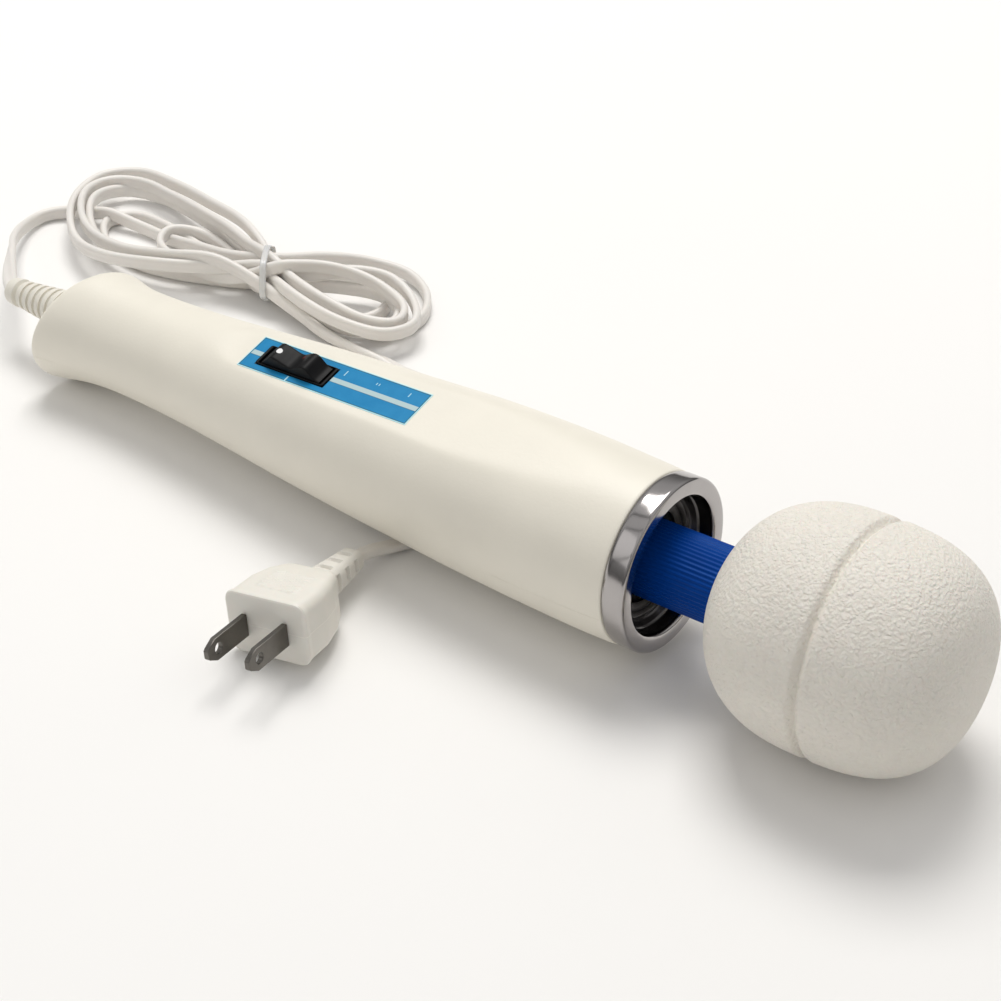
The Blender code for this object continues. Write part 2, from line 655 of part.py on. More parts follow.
def hank_outline():
    """The outline round both lobes of the tied cord."""
    (ax, ay, ar), (bx, by, br) = HANK_ENDS
    gap = Vector((bx - ax, by - ay))
    heading = math.degrees(math.atan2(gap.y, gap.x))
    lean = math.degrees(math.acos((ar - br) / gap.length))
    points = circle(bx, by, br, 18, heading - lean, heading + lean)
    return points + circle(ax, ay, ar, 20, heading + lean, heading - lean + 360)


def cord(grey, clear):
    tube("cord_lead", LEAD_ROUTE, CORD_R, grey)
    tube("cord_tail", TAIL_ROUTE, CORD_R, grey)
    extruded("cord_hank", hank_outline(), *HANK_Z, grey, "Z", parent=None)
    turn = (Matrix.Translation((*TIE_AT, HANK_Z[1] + 0.9))
            @ Matrix.Rotation(math.radians(TIE_TURN), 4, "Z"))
    box("cord_tie", (0, 0, 0), (44, 3.2, 1.0), clear, turn, None, bevel=0.2)


# ---------------------------------------------------------------- assembly

def clear_scene():
    for obj in list(bpy.data.objects):
        bpy.data.objects.remove(obj, do_unlink=True)


def wand_frame():
    frame = bpy.data.objects.new("wand_frame", None)
    bpy.context.collection.objects.link(frame)
    frame.rotation_mode = "QUATERNION"
    turn = (Matrix.Rotation(math.radians(-TILT), 4, "Y")
            @ Matrix.Rotation(math.radians(ROLL), 4, "X"))
    frame.rotation_quaternion = turn.to_quaternion()
    frame.location = (ORIGIN_X * MM, 0, ORIGIN_Z * MM)


def build():
    clear_scene()
    wand_frame()
    cream = material("case_cream", (0.80, 0.76, 0.66), 0.45)
    blue = material("label_blue", (0.03, 0.26, 0.60), 0.35)
    black = material("switch_black", (0.02, 0.02, 0.02), 0.4)
    brass = material("brass", (0.72, 0.52, 0.22), 0.3, 1.0)
    steel = material("steel", (0.55, 0.56, 0.58), 0.3, 1.0)
    chrome = material("chrome", (0.75, 0.76, 0.78), 0.08, 1.0)
    dark = material("dark_plastic", (0.06, 0.06, 0.07), 0.5)
    copper = material("copper", (0.70, 0.30, 0.14), 0.35, 1.0)
    carbon = material("carbon", (0.03, 0.03, 0.035), 0.7)
    rubber = material("mount_rubber", (0.05, 0.05, 0.05), 0.8)
    magnet = material("magnet", (0.12, 0.12, 0.13), 0.6)
    iron = material("armature_iron", (0.30, 0.30, 0.32), 0.45, 1.0)
    neck_blue = material("neck_blue", (0.01, 0.06, 0.38), 0.4)
    vinyl = material("head_vinyl", (0.82, 0.78, 0.69), 0.65)
    plastic = material("head_plastic", (0.70, 0.70, 0.68), 0.5)
    lead = material("weight_steel", (0.35, 0.35, 0.36), 0.5, 1.0)
    green = material("board_green", (0.05, 0.22, 0.10), 0.5)
    ceramic = material("ceramic", (0.75, 0.72, 0.66), 0.6)
    foil = material("capacitor_sleeve", (0.05, 0.10, 0.30), 0.4)
    grey = material("cord_grey", (0.62, 0.60, 0.56), 0.5)
    clear = material("tie_white", (0.85, 0.85, 0.83), 0.4)
    boot_cream = material("boot_cream", (0.80, 0.77, 0.68), 0.55)

    case(cream)
    case_screws(steel)
    label_plate(blue)
    switch(black, brass)
    motor(steel, dark, copper, brass, carbon, rubber, magnet)
    rotor(steel, iron, copper, brass, rubber)
    tail(boot_cream, dark, steel, grey)
    mains_board(green, dark, ceramic, foil)
    collar(chrome, dark)
    neck(neck_blue, steel, steel)
    head(vinyl, plastic, brass)
    eccentric(steel, lead)
    plug(boot_cream, brass)
    cord(grey, clear)


build()
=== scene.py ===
import math

import bmesh
import bpy
import numpy as np
from mathutils import Matrix, Vector
from mathutils.geometry import convex_hull_2d


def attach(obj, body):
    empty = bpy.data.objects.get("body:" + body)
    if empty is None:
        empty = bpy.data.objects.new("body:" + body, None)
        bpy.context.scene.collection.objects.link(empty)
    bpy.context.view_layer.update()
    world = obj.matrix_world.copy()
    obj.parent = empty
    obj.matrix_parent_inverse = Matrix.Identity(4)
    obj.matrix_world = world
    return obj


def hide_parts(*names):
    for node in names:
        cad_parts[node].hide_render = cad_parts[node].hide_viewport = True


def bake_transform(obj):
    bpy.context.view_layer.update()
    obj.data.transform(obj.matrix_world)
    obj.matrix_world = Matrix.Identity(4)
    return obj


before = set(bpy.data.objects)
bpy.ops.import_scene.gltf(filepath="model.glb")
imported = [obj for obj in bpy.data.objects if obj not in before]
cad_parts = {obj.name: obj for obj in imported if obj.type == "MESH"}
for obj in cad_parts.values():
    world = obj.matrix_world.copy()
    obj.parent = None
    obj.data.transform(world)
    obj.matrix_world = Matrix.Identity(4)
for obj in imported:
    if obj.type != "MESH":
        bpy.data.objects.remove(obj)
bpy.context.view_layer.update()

MM = 0.001

# ---- the wand's frame and sizes
TILT, ROLL = 3.27, 12.0
WAND = (Matrix.Translation((0.08081, 0, 0.0284))
        @ Matrix.Rotation(math.radians(-TILT), 4, "Y")
        @ Matrix.Rotation(math.radians(ROLL), 4, "X"))
BODY = [(-217, 18.7), (-211, 18.0), (-204, 17.0), (-196, 16.3), (-186, 16.15), (-175, 16.4),
        (-160, 17.1), (-141, 18.5), (-120, 20.2), (-100, 21.5), (-80, 22.6), (-62, 23.6),
        (-45, 24.1), (-30, 24.25), (-18, 24.1), (-10, 23.85), (-6.6, 23.6)]
RISE = [(-217, 2.5), (-211, 2.9), (-204, 3.3), (-196, 3.5), (-175, 3.3), (-150, 3.0),
        (-130, 2.7), (-95, 2.1), (-60, 1.7), (-30, 0.75), (-14, 0.0), (90, 0.0)]
WALL, SPLIT_GAP, PARTING_RISE, SCREW_SEAT = 2.2, 0.035, 2.6, 4.0
TAIL_HOLE, TAIL_HOLE_Z = 6.4, 4.7
SLANT_START, SLANT, FLAT_END = -187.0, (5.0, 7.0, 4.0), -142.0
SWITCH_X, SWITCH_SLOPE, SWITCH_Z = -120.85, 2.2, 21.05
LABEL_START, LABEL_END, LABEL_HALF = -138.2, -77.15, 6.37
SCREWS = [("front_left", -97, 10.0), ("front_right", -97, -10.0),
          ("rear_left", -184, 7.0), ("rear_right", -184, -7.0)]
SWITCH = (WAND @ Matrix.Translation((SWITCH_X * MM, 0, SWITCH_Z * MM))
          @ Matrix.Rotation(math.radians(-SWITCH_SLOPE), 4, "Y"))
PLUG_AT = (0.5, -65.9, 11.4)
PLUG = (Matrix.Translation(Vector(PLUG_AT) * MM) @ Matrix.Rotation(math.radians(277), 4, "Z")
        @ Matrix.Rotation(math.radians(-7.5), 4, "Y") @ Matrix.Rotation(math.radians(9), 4, "X"))
HEAD_R, HEAD_BACK, HEAD_MID, HEAD_TIP = 31.0, 16.0, 48.0, 83.2
PLUG_W, PLUG_H = 25.2, 18.0
BLADE_OFFSET, BLADE_HALF_H, BLADE_TIP, BLADE_THICK = 6.35, 3.175, 17.0, 1.5
CORD_W, CORD_H = 4.7, 2.5
CORD_STEP, STRAND_GAP, CORD_REST = 1.6, 3.3, 2.45
WORLD = Matrix.Identity(4)


def spline(points, x):
    """A smooth curve through the stations, read at x."""
    xs = np.array([p[0] for p in points], float)
    ys = np.array([p[1] for p in points], float)
    d = np.diff(ys) / np.diff(xs)
    m = np.r_[d[0], (d[:-1] + d[1:]) / 2, d[-1]]
    x = np.clip(np.asarray(x, float), xs[0], xs[-1])
    i = np.clip(np.searchsorted(xs, x, side="right") - 1, 0, len(xs) - 2)
    h = xs[i + 1] - xs[i]
    t = (x - xs[i]) / h
    return ((2 * t ** 3 - 3 * t ** 2 + 1) * ys[i] + (t ** 3 - 2 * t ** 2 + t) * h * m[i]
            + (3 * t ** 2 - 2 * t ** 3) * ys[i + 1] + (t ** 3 - t ** 2) * h * m[i + 1])


def clamp(v):
    return max(0.0, min(1.0, v))


def body_r(x):
    return spline(BODY, x)


def rise(x):
    return spline(RISE, x)


# ---- making pieces
def smooth(mesh, sharp):
    """Shade the mesh smooth, with edges past the sharp angle kept crisp."""
    mesh.polygons.foreach_set("use_smooth", [True] * len(mesh.polygons))
    mesh.set_sharp_from_angle(angle=math.radians(sharp))


def band(rows, n, loop=False):
    """Quads between neighbouring rows of n points; loop joins the last row to the first."""
    return [[i * n + k, i * n + (k + 1) % n, j * n + (k + 1) % n, j * n + k]
            for i in range(rows if loop else rows - 1) for j in ((i + 1) % rows,)
            for k in range(n)]


def caps(rows, n):
    """Faces that close the first and the last row."""
    return [list(range(n))[::-1], [(rows - 1) * n + k for k in range(n)]]


def piece(name, verts, faces, mat, body, place=WAND, sharp=35, own=False):
    """A mesh from millimetre points in the given frame, riding on a body. own keeps that frame
    as the object's, for a material that is laid out in it."""
    mesh = bpy.data.meshes.new(name)
    mesh.from_pydata([Vector(v) * MM for v in verts], [], faces)
    bm = bmesh.new()
    bm.from_mesh(mesh)
    bmesh.ops.remove_doubles(bm, verts=bm.verts, dist=1e-7)
    bmesh.ops.recalc_face_normals(bm, faces=bm.faces)
    bm.to_mesh(mesh)
    bm.free()
    smooth(mesh, sharp)
    mesh.materials.append(mat)
    if not own:
        mesh.transform(place)
    obj = bpy.data.objects.new(name, mesh)
    bpy.context.collection.objects.link(obj)
    obj.matrix_world = place if own else WORLD
    if body:
        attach(obj, body)
    return obj


def lathe(profile, segs, shape=None, lift=None, span=(0, 2 * math.pi), closed=False):
    """Verts and faces of a profile of (x, r) turned about X. closed joins the profile's ends."""
    whole = abs(span[1] - span[0] - 2 * math.pi) < 1e-9
    cols = segs if whole else segs + 1
    rows = len(profile)
    verts = []
    for j in range(cols):
        a = span[0] + (span[1] - span[0]) * j / segs
        for x, r in profile:
            q = shape(x, r, a) if shape else r
            verts.append((x, q * math.cos(a), q * math.sin(a) + (float(lift(x)) if lift else 0)))
    faces = []
    for j in range(segs):
        k = (j + 1) % cols
        for i in range(rows if closed else rows - 1):
            n = (i + 1) % rows
            a, b, c, d = j * rows + i, j * rows + n, k * rows + n, k * rows + i
            if profile[i][1] == 0:
                faces.append([a, b, c])
            elif profile[n][1] == 0:
                faces.append([a, b, d])
            else:
                faces.append([a, b, c, d])
    return verts, faces


def arc(cx, cy, r, a0, a1, n):
    return [(cx + r * math.cos(math.radians(a0 + (a1 - a0) * i / (n - 1))),
             cy + r * math.sin(math.radians(a0 + (a1 - a0) * i / (n - 1)))) for i in range(n)]


def rounded(w, h, r, n=6):
    u, v = w / 2 - r, h / 2 - r
    return (arc(u, v, r, 0, 90, n) + arc(-u, v, r, 90, 180, n)
            + arc(-u, -v, r, 180, 270, n) + arc(u, -v, r, 270, 360, n))


def loft(sections):
    """Verts and faces through equal-length outlines, each (x, outline in y and z)."""
    rows, n = len(sections), len(sections[0][1])
    verts = [(x, u, v) for x, o in sections for u, v in o]
    return verts, band(rows, n) + caps(rows, n)


def bevel(obj, width, segments=3, angle=35):
    mod = obj.modifiers.new("edges", "BEVEL")
    mod.width, mod.segments, mod.limit_method = width * MM, segments, "ANGLE"
    mod.angle_limit = math.radians(angle)
    mod.harden_normals = True
    return obj


def cut(target, cutter):
    """Take the cutter out of the target, and keep only the result."""
    mod = target.modifiers.new("cut", "BOOLEAN")
    mod.operation, mod.solver, mod.object = "DIFFERENCE", "EXACT", cutter
    bpy.context.view_layer.update()
    deps = bpy.context.evaluated_depsgraph_get()
    mesh = bpy.data.meshes.new_from_object(target.evaluated_get(deps))
    target.modifiers.clear()
    target.data = mesh
    bpy.data.objects.remove(cutter, do_unlink=True)
    smooth(mesh, 35)


# ---- materials
def nodes_of(name):
    """A new material: itself, its nodes, links and shader, and the piece's own coordinates."""
    mat = bpy.data.materials.new(name)
    mat.use_nodes = True
    nodes = mat.node_tree.nodes
    coord = nodes.new("ShaderNodeTexCoord").outputs["Object"]
    return mat, nodes, mat.node_tree.links, nodes["Principled BSDF"], coord


def noise(nodes, links, scale, detail=4.0, rough=0.5, vector=None, distortion=0.0):
    tex = nodes.new("ShaderNodeTexNoise")
    tex.inputs["Scale"].default_value = scale
    tex.inputs["Detail"].default_value = detail
    tex.inputs["Roughness"].default_value = rough
    tex.inputs["Distortion"].default_value = distortion
    links.new(vector, tex.inputs["Vector"])
    return tex.outputs["Fac"]


def ramp(nodes, links, fac, stops):
    node = nodes.new("ShaderNodeValToRGB")
    links.new(fac, node.inputs["Fac"])
    el = node.color_ramp.elements
    el[0].position, el[0].color = stops[0][0], (*stops[0][1], 1)
    el[1].position, el[1].color = stops[-1][0], (*stops[-1][1], 1)
    for pos, col in stops[1:-1]:
        e = el.new(pos)
        e.color = (*col, 1)
    return node.outputs["Color"]


def span(nodes, links, fac, low, high):
    node = nodes.new("ShaderNodeMapRange")
    links.new(fac, node.inputs["Value"])
    node.inputs["To Min"].default_value = low
    node.inputs["To Max"].default_value = high
    return node.outputs["Result"]


def bump(nodes, links, height, strength, distance, before=None):
    node = nodes.new("ShaderNodeBump")
    node.inputs["Strength"].default_value = strength
    node.inputs["Distance"].default_value = distance
    links.new(height, node.inputs["Height"])
    if before:
        links.new(before, node.inputs["Normal"])
    return node.outputs["Normal"]


def shade(c, k):
    return tuple(min(1.0, v * k) for v in c)


def moulded(name, colour, rough=0.4, grain=900.0, depth=0.00006, mottle=0.05, specular=0.5,
            coat=0.0, subsurface=0.0):
    """Moulded plastic or rubber: slight mottling, fine grain and an uneven gloss."""
    mat, nodes, links, bsdf, coord = nodes_of(name)
    broad = noise(nodes, links, 38.0, 3.0, 0.55, coord)
    fine = noise(nodes, links, grain, 3.0, 0.6, coord)
    links.new(ramp(nodes, links, broad, [(0.3, shade(colour, 1 - mottle)),
                                         (0.7, shade(colour, 1 + mottle * 0.6))]),
              bsdf.inputs["Base Color"])
    links.new(span(nodes, links, broad, rough - 0.05, rough + 0.07), bsdf.inputs["Roughness"])
    links.new(bump(nodes, links, fine, 0.5, depth), bsdf.inputs["Normal"])
    bsdf.inputs["Specular IOR Level"].default_value = specular
    bsdf.inputs["Coat Weight"].default_value = coat
    if subsurface:
        bsdf.inputs["Subsurface Weight"].default_value = subsurface
        bsdf.inputs["Subsurface Scale"].default_value = 0.002
        bsdf.inputs["Subsurface Radius"].default_value = (1.0, 0.8, 0.6)
    return mat


def metal(name, colour, rough=0.3, brushed=0.0, wear=0.1, scale=(1, 1, 1)):
    """Metal with fine scratches stretched along one direction, and patches of duller finish."""
    mat, nodes, links, bsdf, coord = nodes_of(name)
    mapping = nodes.new("ShaderNodeMapping")
    mapping.inputs["Scale"].default_value = scale
    links.new(coord, mapping.inputs["Vector"])
    lines = noise(nodes, links, 1500.0, 4.0, 0.6, mapping.outputs["Vector"])
    patch = noise(nodes, links, 90.0, 4.0, 0.6, coord)
    links.new(ramp(nodes, links, patch, [(0.3, shade(colour, 1 - wear)), (0.7, colour)]),
              bsdf.inputs["Base Color"])
    links.new(span(nodes, links, patch, rough, rough + 0.12), bsdf.inputs["Roughness"])
    if brushed:
        links.new(bump(nodes, links, lines, brushed, 0.00003), bsdf.inputs["Normal"])
    bsdf.inputs["Metallic"].default_value = 1.0
    return mat


def vinyl(name, colour):
    """Soft pebbled vinyl: rounded cells with creases between them."""
    mat, nodes, links, bsdf, coord = nodes_of(name)
    warp = nodes.new("ShaderNodeTexNoise")
    warp.inputs["Scale"].default_value = 420.0
    links.new(coord, warp.inputs["Vector"])
    mix = nodes.new("ShaderNodeMix")
    mix.data_type = "VECTOR"
    mix.inputs["Factor"].default_value = 0.0012
    links.new(coord, mix.inputs[4])
    links.new(warp.outputs["Color"], mix.inputs[5])
    cells = nodes.new("ShaderNodeTexVoronoi")
    cells.feature = "SMOOTH_F1"
    cells.inputs["Scale"].default_value = 1150.0
    cells.inputs["Smoothness"].default_value = 0.7
    links.new(mix.outputs[1], cells.inputs["Vector"])
    broad = noise(nodes, links, 45.0, 4.0, 0.6, coord)
    folds = noise(nodes, links, 760.0, 4.0, 0.65, coord, 0.8)
    links.new(ramp(nodes, links, broad, [(0.3, shade(colour, 0.965)), (0.7, shade(colour, 1.02))]),
              bsdf.inputs["Base Color"])
    links.new(span(nodes, links, folds, 0.48, 0.66), bsdf.inputs["Roughness"])
    first = bump(nodes, links, cells.outputs["Distance"], 0.8, -0.00034)
    links.new(bump(nodes, links, folds, 0.95, 0.00052, first), bsdf.inputs["Normal"])
    bsdf.inputs["Specular IOR Level"].default_value = 0.4
    bsdf.inputs["Subsurface Weight"].default_value = 0.06
    bsdf.inputs["Subsurface Scale"].default_value = 0.003
    return mat


def maths(nodes, links, op, a, b=None, c=None):
    node = nodes.new("ShaderNodeMath")
    node.operation = op
    for i, v in enumerate((a, b, c)):
        if v is None:
            continue
        if isinstance(v, (int, float)):
            node.inputs[i].default_value = v
        else:
            links.new(v, node.inputs[i])
    return node.outputs[0]


def axes_mm(nodes, links, coord):
    """The piece's own coordinates in millimetres, one socket for each axis."""
    split = nodes.new("ShaderNodeSeparateXYZ")
    links.new(coord, split.inputs[0])
    return [maths(nodes, links, "MULTIPLY", o, 1000.0) for o in split.outputs]


def within(nodes, links, value, centre, half, soft=0.08):
    """1 where value is within half of centre, falling to 0 over soft."""
    off = maths(nodes, links, "ABSOLUTE", maths(nodes, links, "SUBTRACT", value, centre))
    node = nodes.new("ShaderNodeMapRange")
    node.interpolation_type = "SMOOTHSTEP"
    links.new(off, node.inputs["Value"])
    node.inputs["From Min"].default_value = half - soft
    node.inputs["From Max"].default_value = half + soft
    node.inputs["To Min"].default_value = 1.0
    node.inputs["To Max"].default_value = 0.0
    return node.outputs["Result"]


def paint(nodes, links, base, mask, colour):
    mix = nodes.new("ShaderNodeMix")
    mix.data_type = "RGBA"
    links.new(mask, mix.inputs[0])
    links.new(base, mix.inputs[6])
    mix.inputs[7].default_value = (*colour, 1)
    return mix.outputs[2]


def label_print(name):
    """The printed strip: blue, a pale middle stripe, a thin double border and plain marks."""
    mat, nodes, links, bsdf, coord = nodes_of(name)
    x, y, _ = axes_mm(nodes, links, coord)

    def both(a, b):
        return maths(nodes, links, "MULTIPLY", a, b)

    def near(v, c, h):
        return within(nodes, links, v, c, h, 0.06)
    mid_x, half_x = (LABEL_START + LABEL_END) / 2, (LABEL_END - LABEL_START) / 2
    half_y = LABEL_HALF
    cloud = noise(nodes, links, 240.0, 4.0, 0.6, coord)
    colour = ramp(nodes, links, cloud,
                  [(0.3, (0.010, 0.215, 0.465)), (0.7, (0.016, 0.245, 0.505))])
    inner = both(near(x, mid_x, half_x - 0.62), near(y, 0, half_y - 0.62))
    line = maths(nodes, links, "SUBTRACT", 1.0, inner)
    colour = paint(nodes, links, colour, line, (0.012, 0.12, 0.19))
    core = both(near(x, mid_x, half_x - 0.33), near(y, 0, half_y - 0.33))
    border = maths(nodes, links, "SUBTRACT", 1.0, core)
    stripe = both(near(y, -0.1, 0.86), near(x, mid_x, half_x - 0.66))
    colour = paint(nodes, links, colour, stripe, (0.46, 0.60, 0.62))
    edge = both(near(y, -1.02, 0.1), near(x, mid_x, half_x - 0.66))
    colour = paint(nodes, links, colour, edge, (0.03, 0.16, 0.27))
    for cx, hx, cy, hy in ((-120.4, 0.26, -5.28, 1.1), (-105.6, 0.16, 3.4, 1.0),
                           (-94.6, 0.14, 3.5, 0.42), (-93.7, 0.14, 3.5, 0.42),
                           (-83.2, 0.16, 3.6, 0.75)):
        mark = both(near(x, cx, hx), near(y, cy, hy))
        colour = paint(nodes, links, colour, mark, (0.42, 0.70, 0.80))
    colour = paint(nodes, links, colour, border, (0.50, 0.80, 0.86))
    links.new(colour, bsdf.inputs["Base Color"])
    links.new(span(nodes, links, cloud, 0.24, 0.36), bsdf.inputs["Roughness"])
    fine = noise(nodes, links, 2200.0, 2.0, 0.5, coord)
    links.new(bump(nodes, links, fine, 0.25, 0.00002), bsdf.inputs["Normal"])
    bsdf.inputs["Specular IOR Level"].default_value = 0.2
    return mat


def switch_black(name):
    """Gloss black moulding with a white dot and a dull red mark printed on it."""
    mat, nodes, links, bsdf, coord = nodes_of(name)
    x, y, _ = axes_mm(nodes, links, coord)
    cloud = noise(nodes, links, 300.0, 4.0, 0.6, coord)
    colour = ramp(nodes, links, cloud,
                  [(0.3, (0.003, 0.003, 0.0035)), (0.7, (0.006, 0.006, 0.0065))])

    def dot(cx, cy, r, shade_to, base):
        dx = maths(nodes, links, "SUBTRACT", x, cx)
        dy = maths(nodes, links, "SUBTRACT", y, cy)
        square = maths(nodes, links, "MULTIPLY", dx, dx)
        reach = maths(nodes, links, "SQRT", maths(nodes, links, "MULTIPLY_ADD", dy, dy, square))
        return paint(nodes, links, base, within(nodes, links, reach, 0.0, r, 0.08), shade_to)
    colour = dot(-5.1, 0.0, 0.92, (0.86, 0.86, 0.86), colour)
    colour = dot(2.3, 1.7, 0.62, (0.10, 0.008, 0.008), colour)
    links.new(colour, bsdf.inputs["Base Color"])
    links.new(span(nodes, links, cloud, 0.42, 0.55), bsdf.inputs["Roughness"])
    fine = noise(nodes, links, 1800.0, 3.0, 0.5, coord)
    links.new(bump(nodes, links, fine, 0.3, 0.00003), bsdf.inputs["Normal"])
    bsdf.inputs["Specular IOR Level"].default_value = 0.16
    return mat


def neck_rubber(name):
    """Deep blue rubber: a sheen that comes and goes round the flutes, and fine dust."""
    mat, nodes, links, bsdf, coord = nodes_of(name)
    broad = noise(nodes, links, 60.0, 3.0, 0.5, coord)
    fine = noise(nodes, links, 1500.0, 3.0, 0.6, coord)
    links.new(ramp(nodes, links, broad,
                   [(0.3, (0.0010, 0.036, 0.235)), (0.7, (0.0014, 0.052, 0.31))]),
              bsdf.inputs["Base Color"])
    links.new(span(nodes, links, fine, 0.32, 0.46), bsdf.inputs["Roughness"])
    links.new(bump(nodes, links, fine, 0.35, 0.00003), bsdf.inputs["Normal"])
    bsdf.inputs["Specular IOR Level"].default_value = 0.16
    bsdf.inputs["Specular Tint"].default_value = (0.25, 0.65, 1.0, 1)
    return mat


def plug_vinyl(name, colour):
    """Moulded plug vinyl with the mould's parting line round its middle."""
    mat, nodes, links, bsdf, coord = nodes_of(name)
    _, _, z = axes_mm(nodes, links, coord)
    broad = noise(nodes, links, 60.0, 3.0, 0.5, coord)
    fine = noise(nodes, links, 1300.0, 3.0, 0.6, coord)
    base = ramp(nodes, links, broad, [(0.3, shade(colour, 0.96)), (0.7, shade(colour, 1.03))])
    seam = within(nodes, links, z, 0.0, 0.14, 0.1)
    links.new(paint(nodes, links, base, maths(nodes, links, "MULTIPLY", seam, 0.5),
                    shade(colour, 1.18)), bsdf.inputs["Base Color"])
    links.new(span(nodes, links, broad, 0.36, 0.48), bsdf.inputs["Roughness"])
    first = bump(nodes, links, seam, 0.5, 0.00012)
    links.new(bump(nodes, links, fine, 0.45, 0.00006, first), bsdf.inputs["Normal"])
    bsdf.inputs["Subsurface Weight"].default_value = 0.05
    bsdf.inputs["Subsurface Scale"].default_value = 0.002
    return mat


# ---- camera, floor, light
def camera():
    data = bpy.data.cameras.new("camera")
    cam = bpy.data.objects.new("camera", data)
    bpy.context.collection.objects.link(cam)
    az, el = math.radians(37.014), math.radians(37.859)
    back = Vector((math.sin(az) * math.cos(el), -math.cos(az) * math.cos(el), math.sin(el)))
    cam.location = (0.28315, -0.34130, 0.35614)
    cam.rotation_euler = (-back).to_track_quat("-Z", "Y").to_euler()
    data.lens, data.sensor_width, data.sensor_fit = 73.08, 36.0, "HORIZONTAL"
    data.clip_start, data.clip_end = 0.02, 30.0
    bpy.context.scene.camera = cam


def floor():
    mat, nodes, links, bsdf, coord = nodes_of("floor_white")
    soft = noise(nodes, links, 3.0, 3.0, 0.5, coord)
    links.new(ramp(nodes, links, soft, [(0.3, (0.895, 0.885, 0.87)), (0.7, (0.91, 0.90, 0.885))]),
              bsdf.inputs["Base Color"])
    bsdf.inputs["Roughness"].default_value = 0.85
    bsdf.inputs["Specular IOR Level"].default_value = 0.1
    verts = [(-6000, -6000, 0), (6000, -6000, 0), (6000, 6000, 0), (-6000, 6000, 0)]
    obj = piece("floor", verts, [[0, 1, 2, 3]], mat, None, WORLD)


def area(name, at, size, power, colour):
    """A rectangular light at a place, turned to the middle of the scene."""
    data = bpy.data.lights.new(name, "AREA")
    data.shape, data.size, data.size_y = "RECTANGLE", size[0], size[1]
    data.energy, data.color = power, colour
    obj = bpy.data.objects.new(name, data)
    bpy.context.collection.objects.link(obj)
    obj.location = at
    obj.rotation_euler = (-Vector(at)).to_track_quat("-Z", "Y").to_euler()


def lighting():
    """An even pale studio: a soft key from behind on the left, and a sky that darkens low."""
    world = bpy.data.worlds.new("studio")
    bpy.context.scene.world = world
    world.use_nodes = True
    nodes, links = world.node_tree.nodes, world.node_tree.links
    bg = nodes["Background"]
    split = nodes.new("ShaderNodeSeparateXYZ")
    links.new(nodes.new("ShaderNodeTexCoord").outputs["Generated"], split.inputs[0])
    sky = ramp(nodes, links, split.outputs["Z"],
               [(0.0, (0.20, 0.195, 0.19)), (0.2, (0.42, 0.415, 0.41)),
                (0.5, (0.97, 0.965, 0.96)), (1.0, (1.14, 1.135, 1.13))])
    # Thin dark gaps between the panels of light overhead, which show as lines in the chrome.
    gaps = [within(nodes, links, split.outputs["Y"], y, w, 0.008)
            for y, w in ((-0.065, 0.022), (-0.37, 0.016), (-0.80, 0.016))]
    dark = maths(nodes, links, "ADD", maths(nodes, links, "ADD", gaps[0], gaps[1]), gaps[2])
    links.new(paint(nodes, links, sky, dark, (0.01, 0.01, 0.01)), bg.inputs["Color"])
    bg.inputs["Strength"].default_value = 0.57
    area("key", (-0.50, 0.66, 1.75), (1.0, 0.85), 23.5, (1.0, 0.985, 0.96))
    area("fill", (-0.5, -1.1, 0.9), (1.2, 0.9), 1.6, (1.0, 0.99, 0.97))
    scene = bpy.context.scene
    scene.view_settings.view_transform = "Standard"
    scene.view_settings.look = "None"
    scene.view_settings.exposure = 0.0


# ---- cord
LEAD = [(-163.85, -0.98, 19.0, 0), (-167.9, 1.6, 18.5, 0), (-178.2, 10.0, 16.0, 25),
        (-190.7, 21.2, 12.0, 60), (-203.5, 33.7, 7.6, 85), (-212.0, 47.0, 3.6, 90),
        (-213.0, 56.1, 2.5, 90), (-207.5, 62.0, 2.5, 90), (-196.1, 66.0, 2.5, 90),
        (-181.0, 69.0, 2.6, 90), (-155.9, 68.6, 5.0, 90), (-134.0, 66.5, 9.0, 90)]
TAIL = [(-100, 58.5, 5.2, 90), (-86, 56.0, 3.6, 80), (-74, 56.2, 2.6, 60), (-62.5, 57.0, 2.2, 30),
        (-56, 56.6, 1.6, 15), (-47, 56.8, 1.3, 5), (-39.5, 54.5, 1.3, 0), (-33, 49, 1.3, 0),
        (-26.5, 40.5, 1.3, 0), (-18.5, 31, 1.3, 0), (-9.5, 21.5, 1.3, 0), (-2.2, 12, 1.3, 0),
        (1.1, 3, 1.3, 0), (0.3, -5.5, 1.6, 0), (-2.4, -13, 2.7, 0), (-4.2, -19.5, 4.4, 0),
        (-4.5, -25.2, 5.75, 0)]
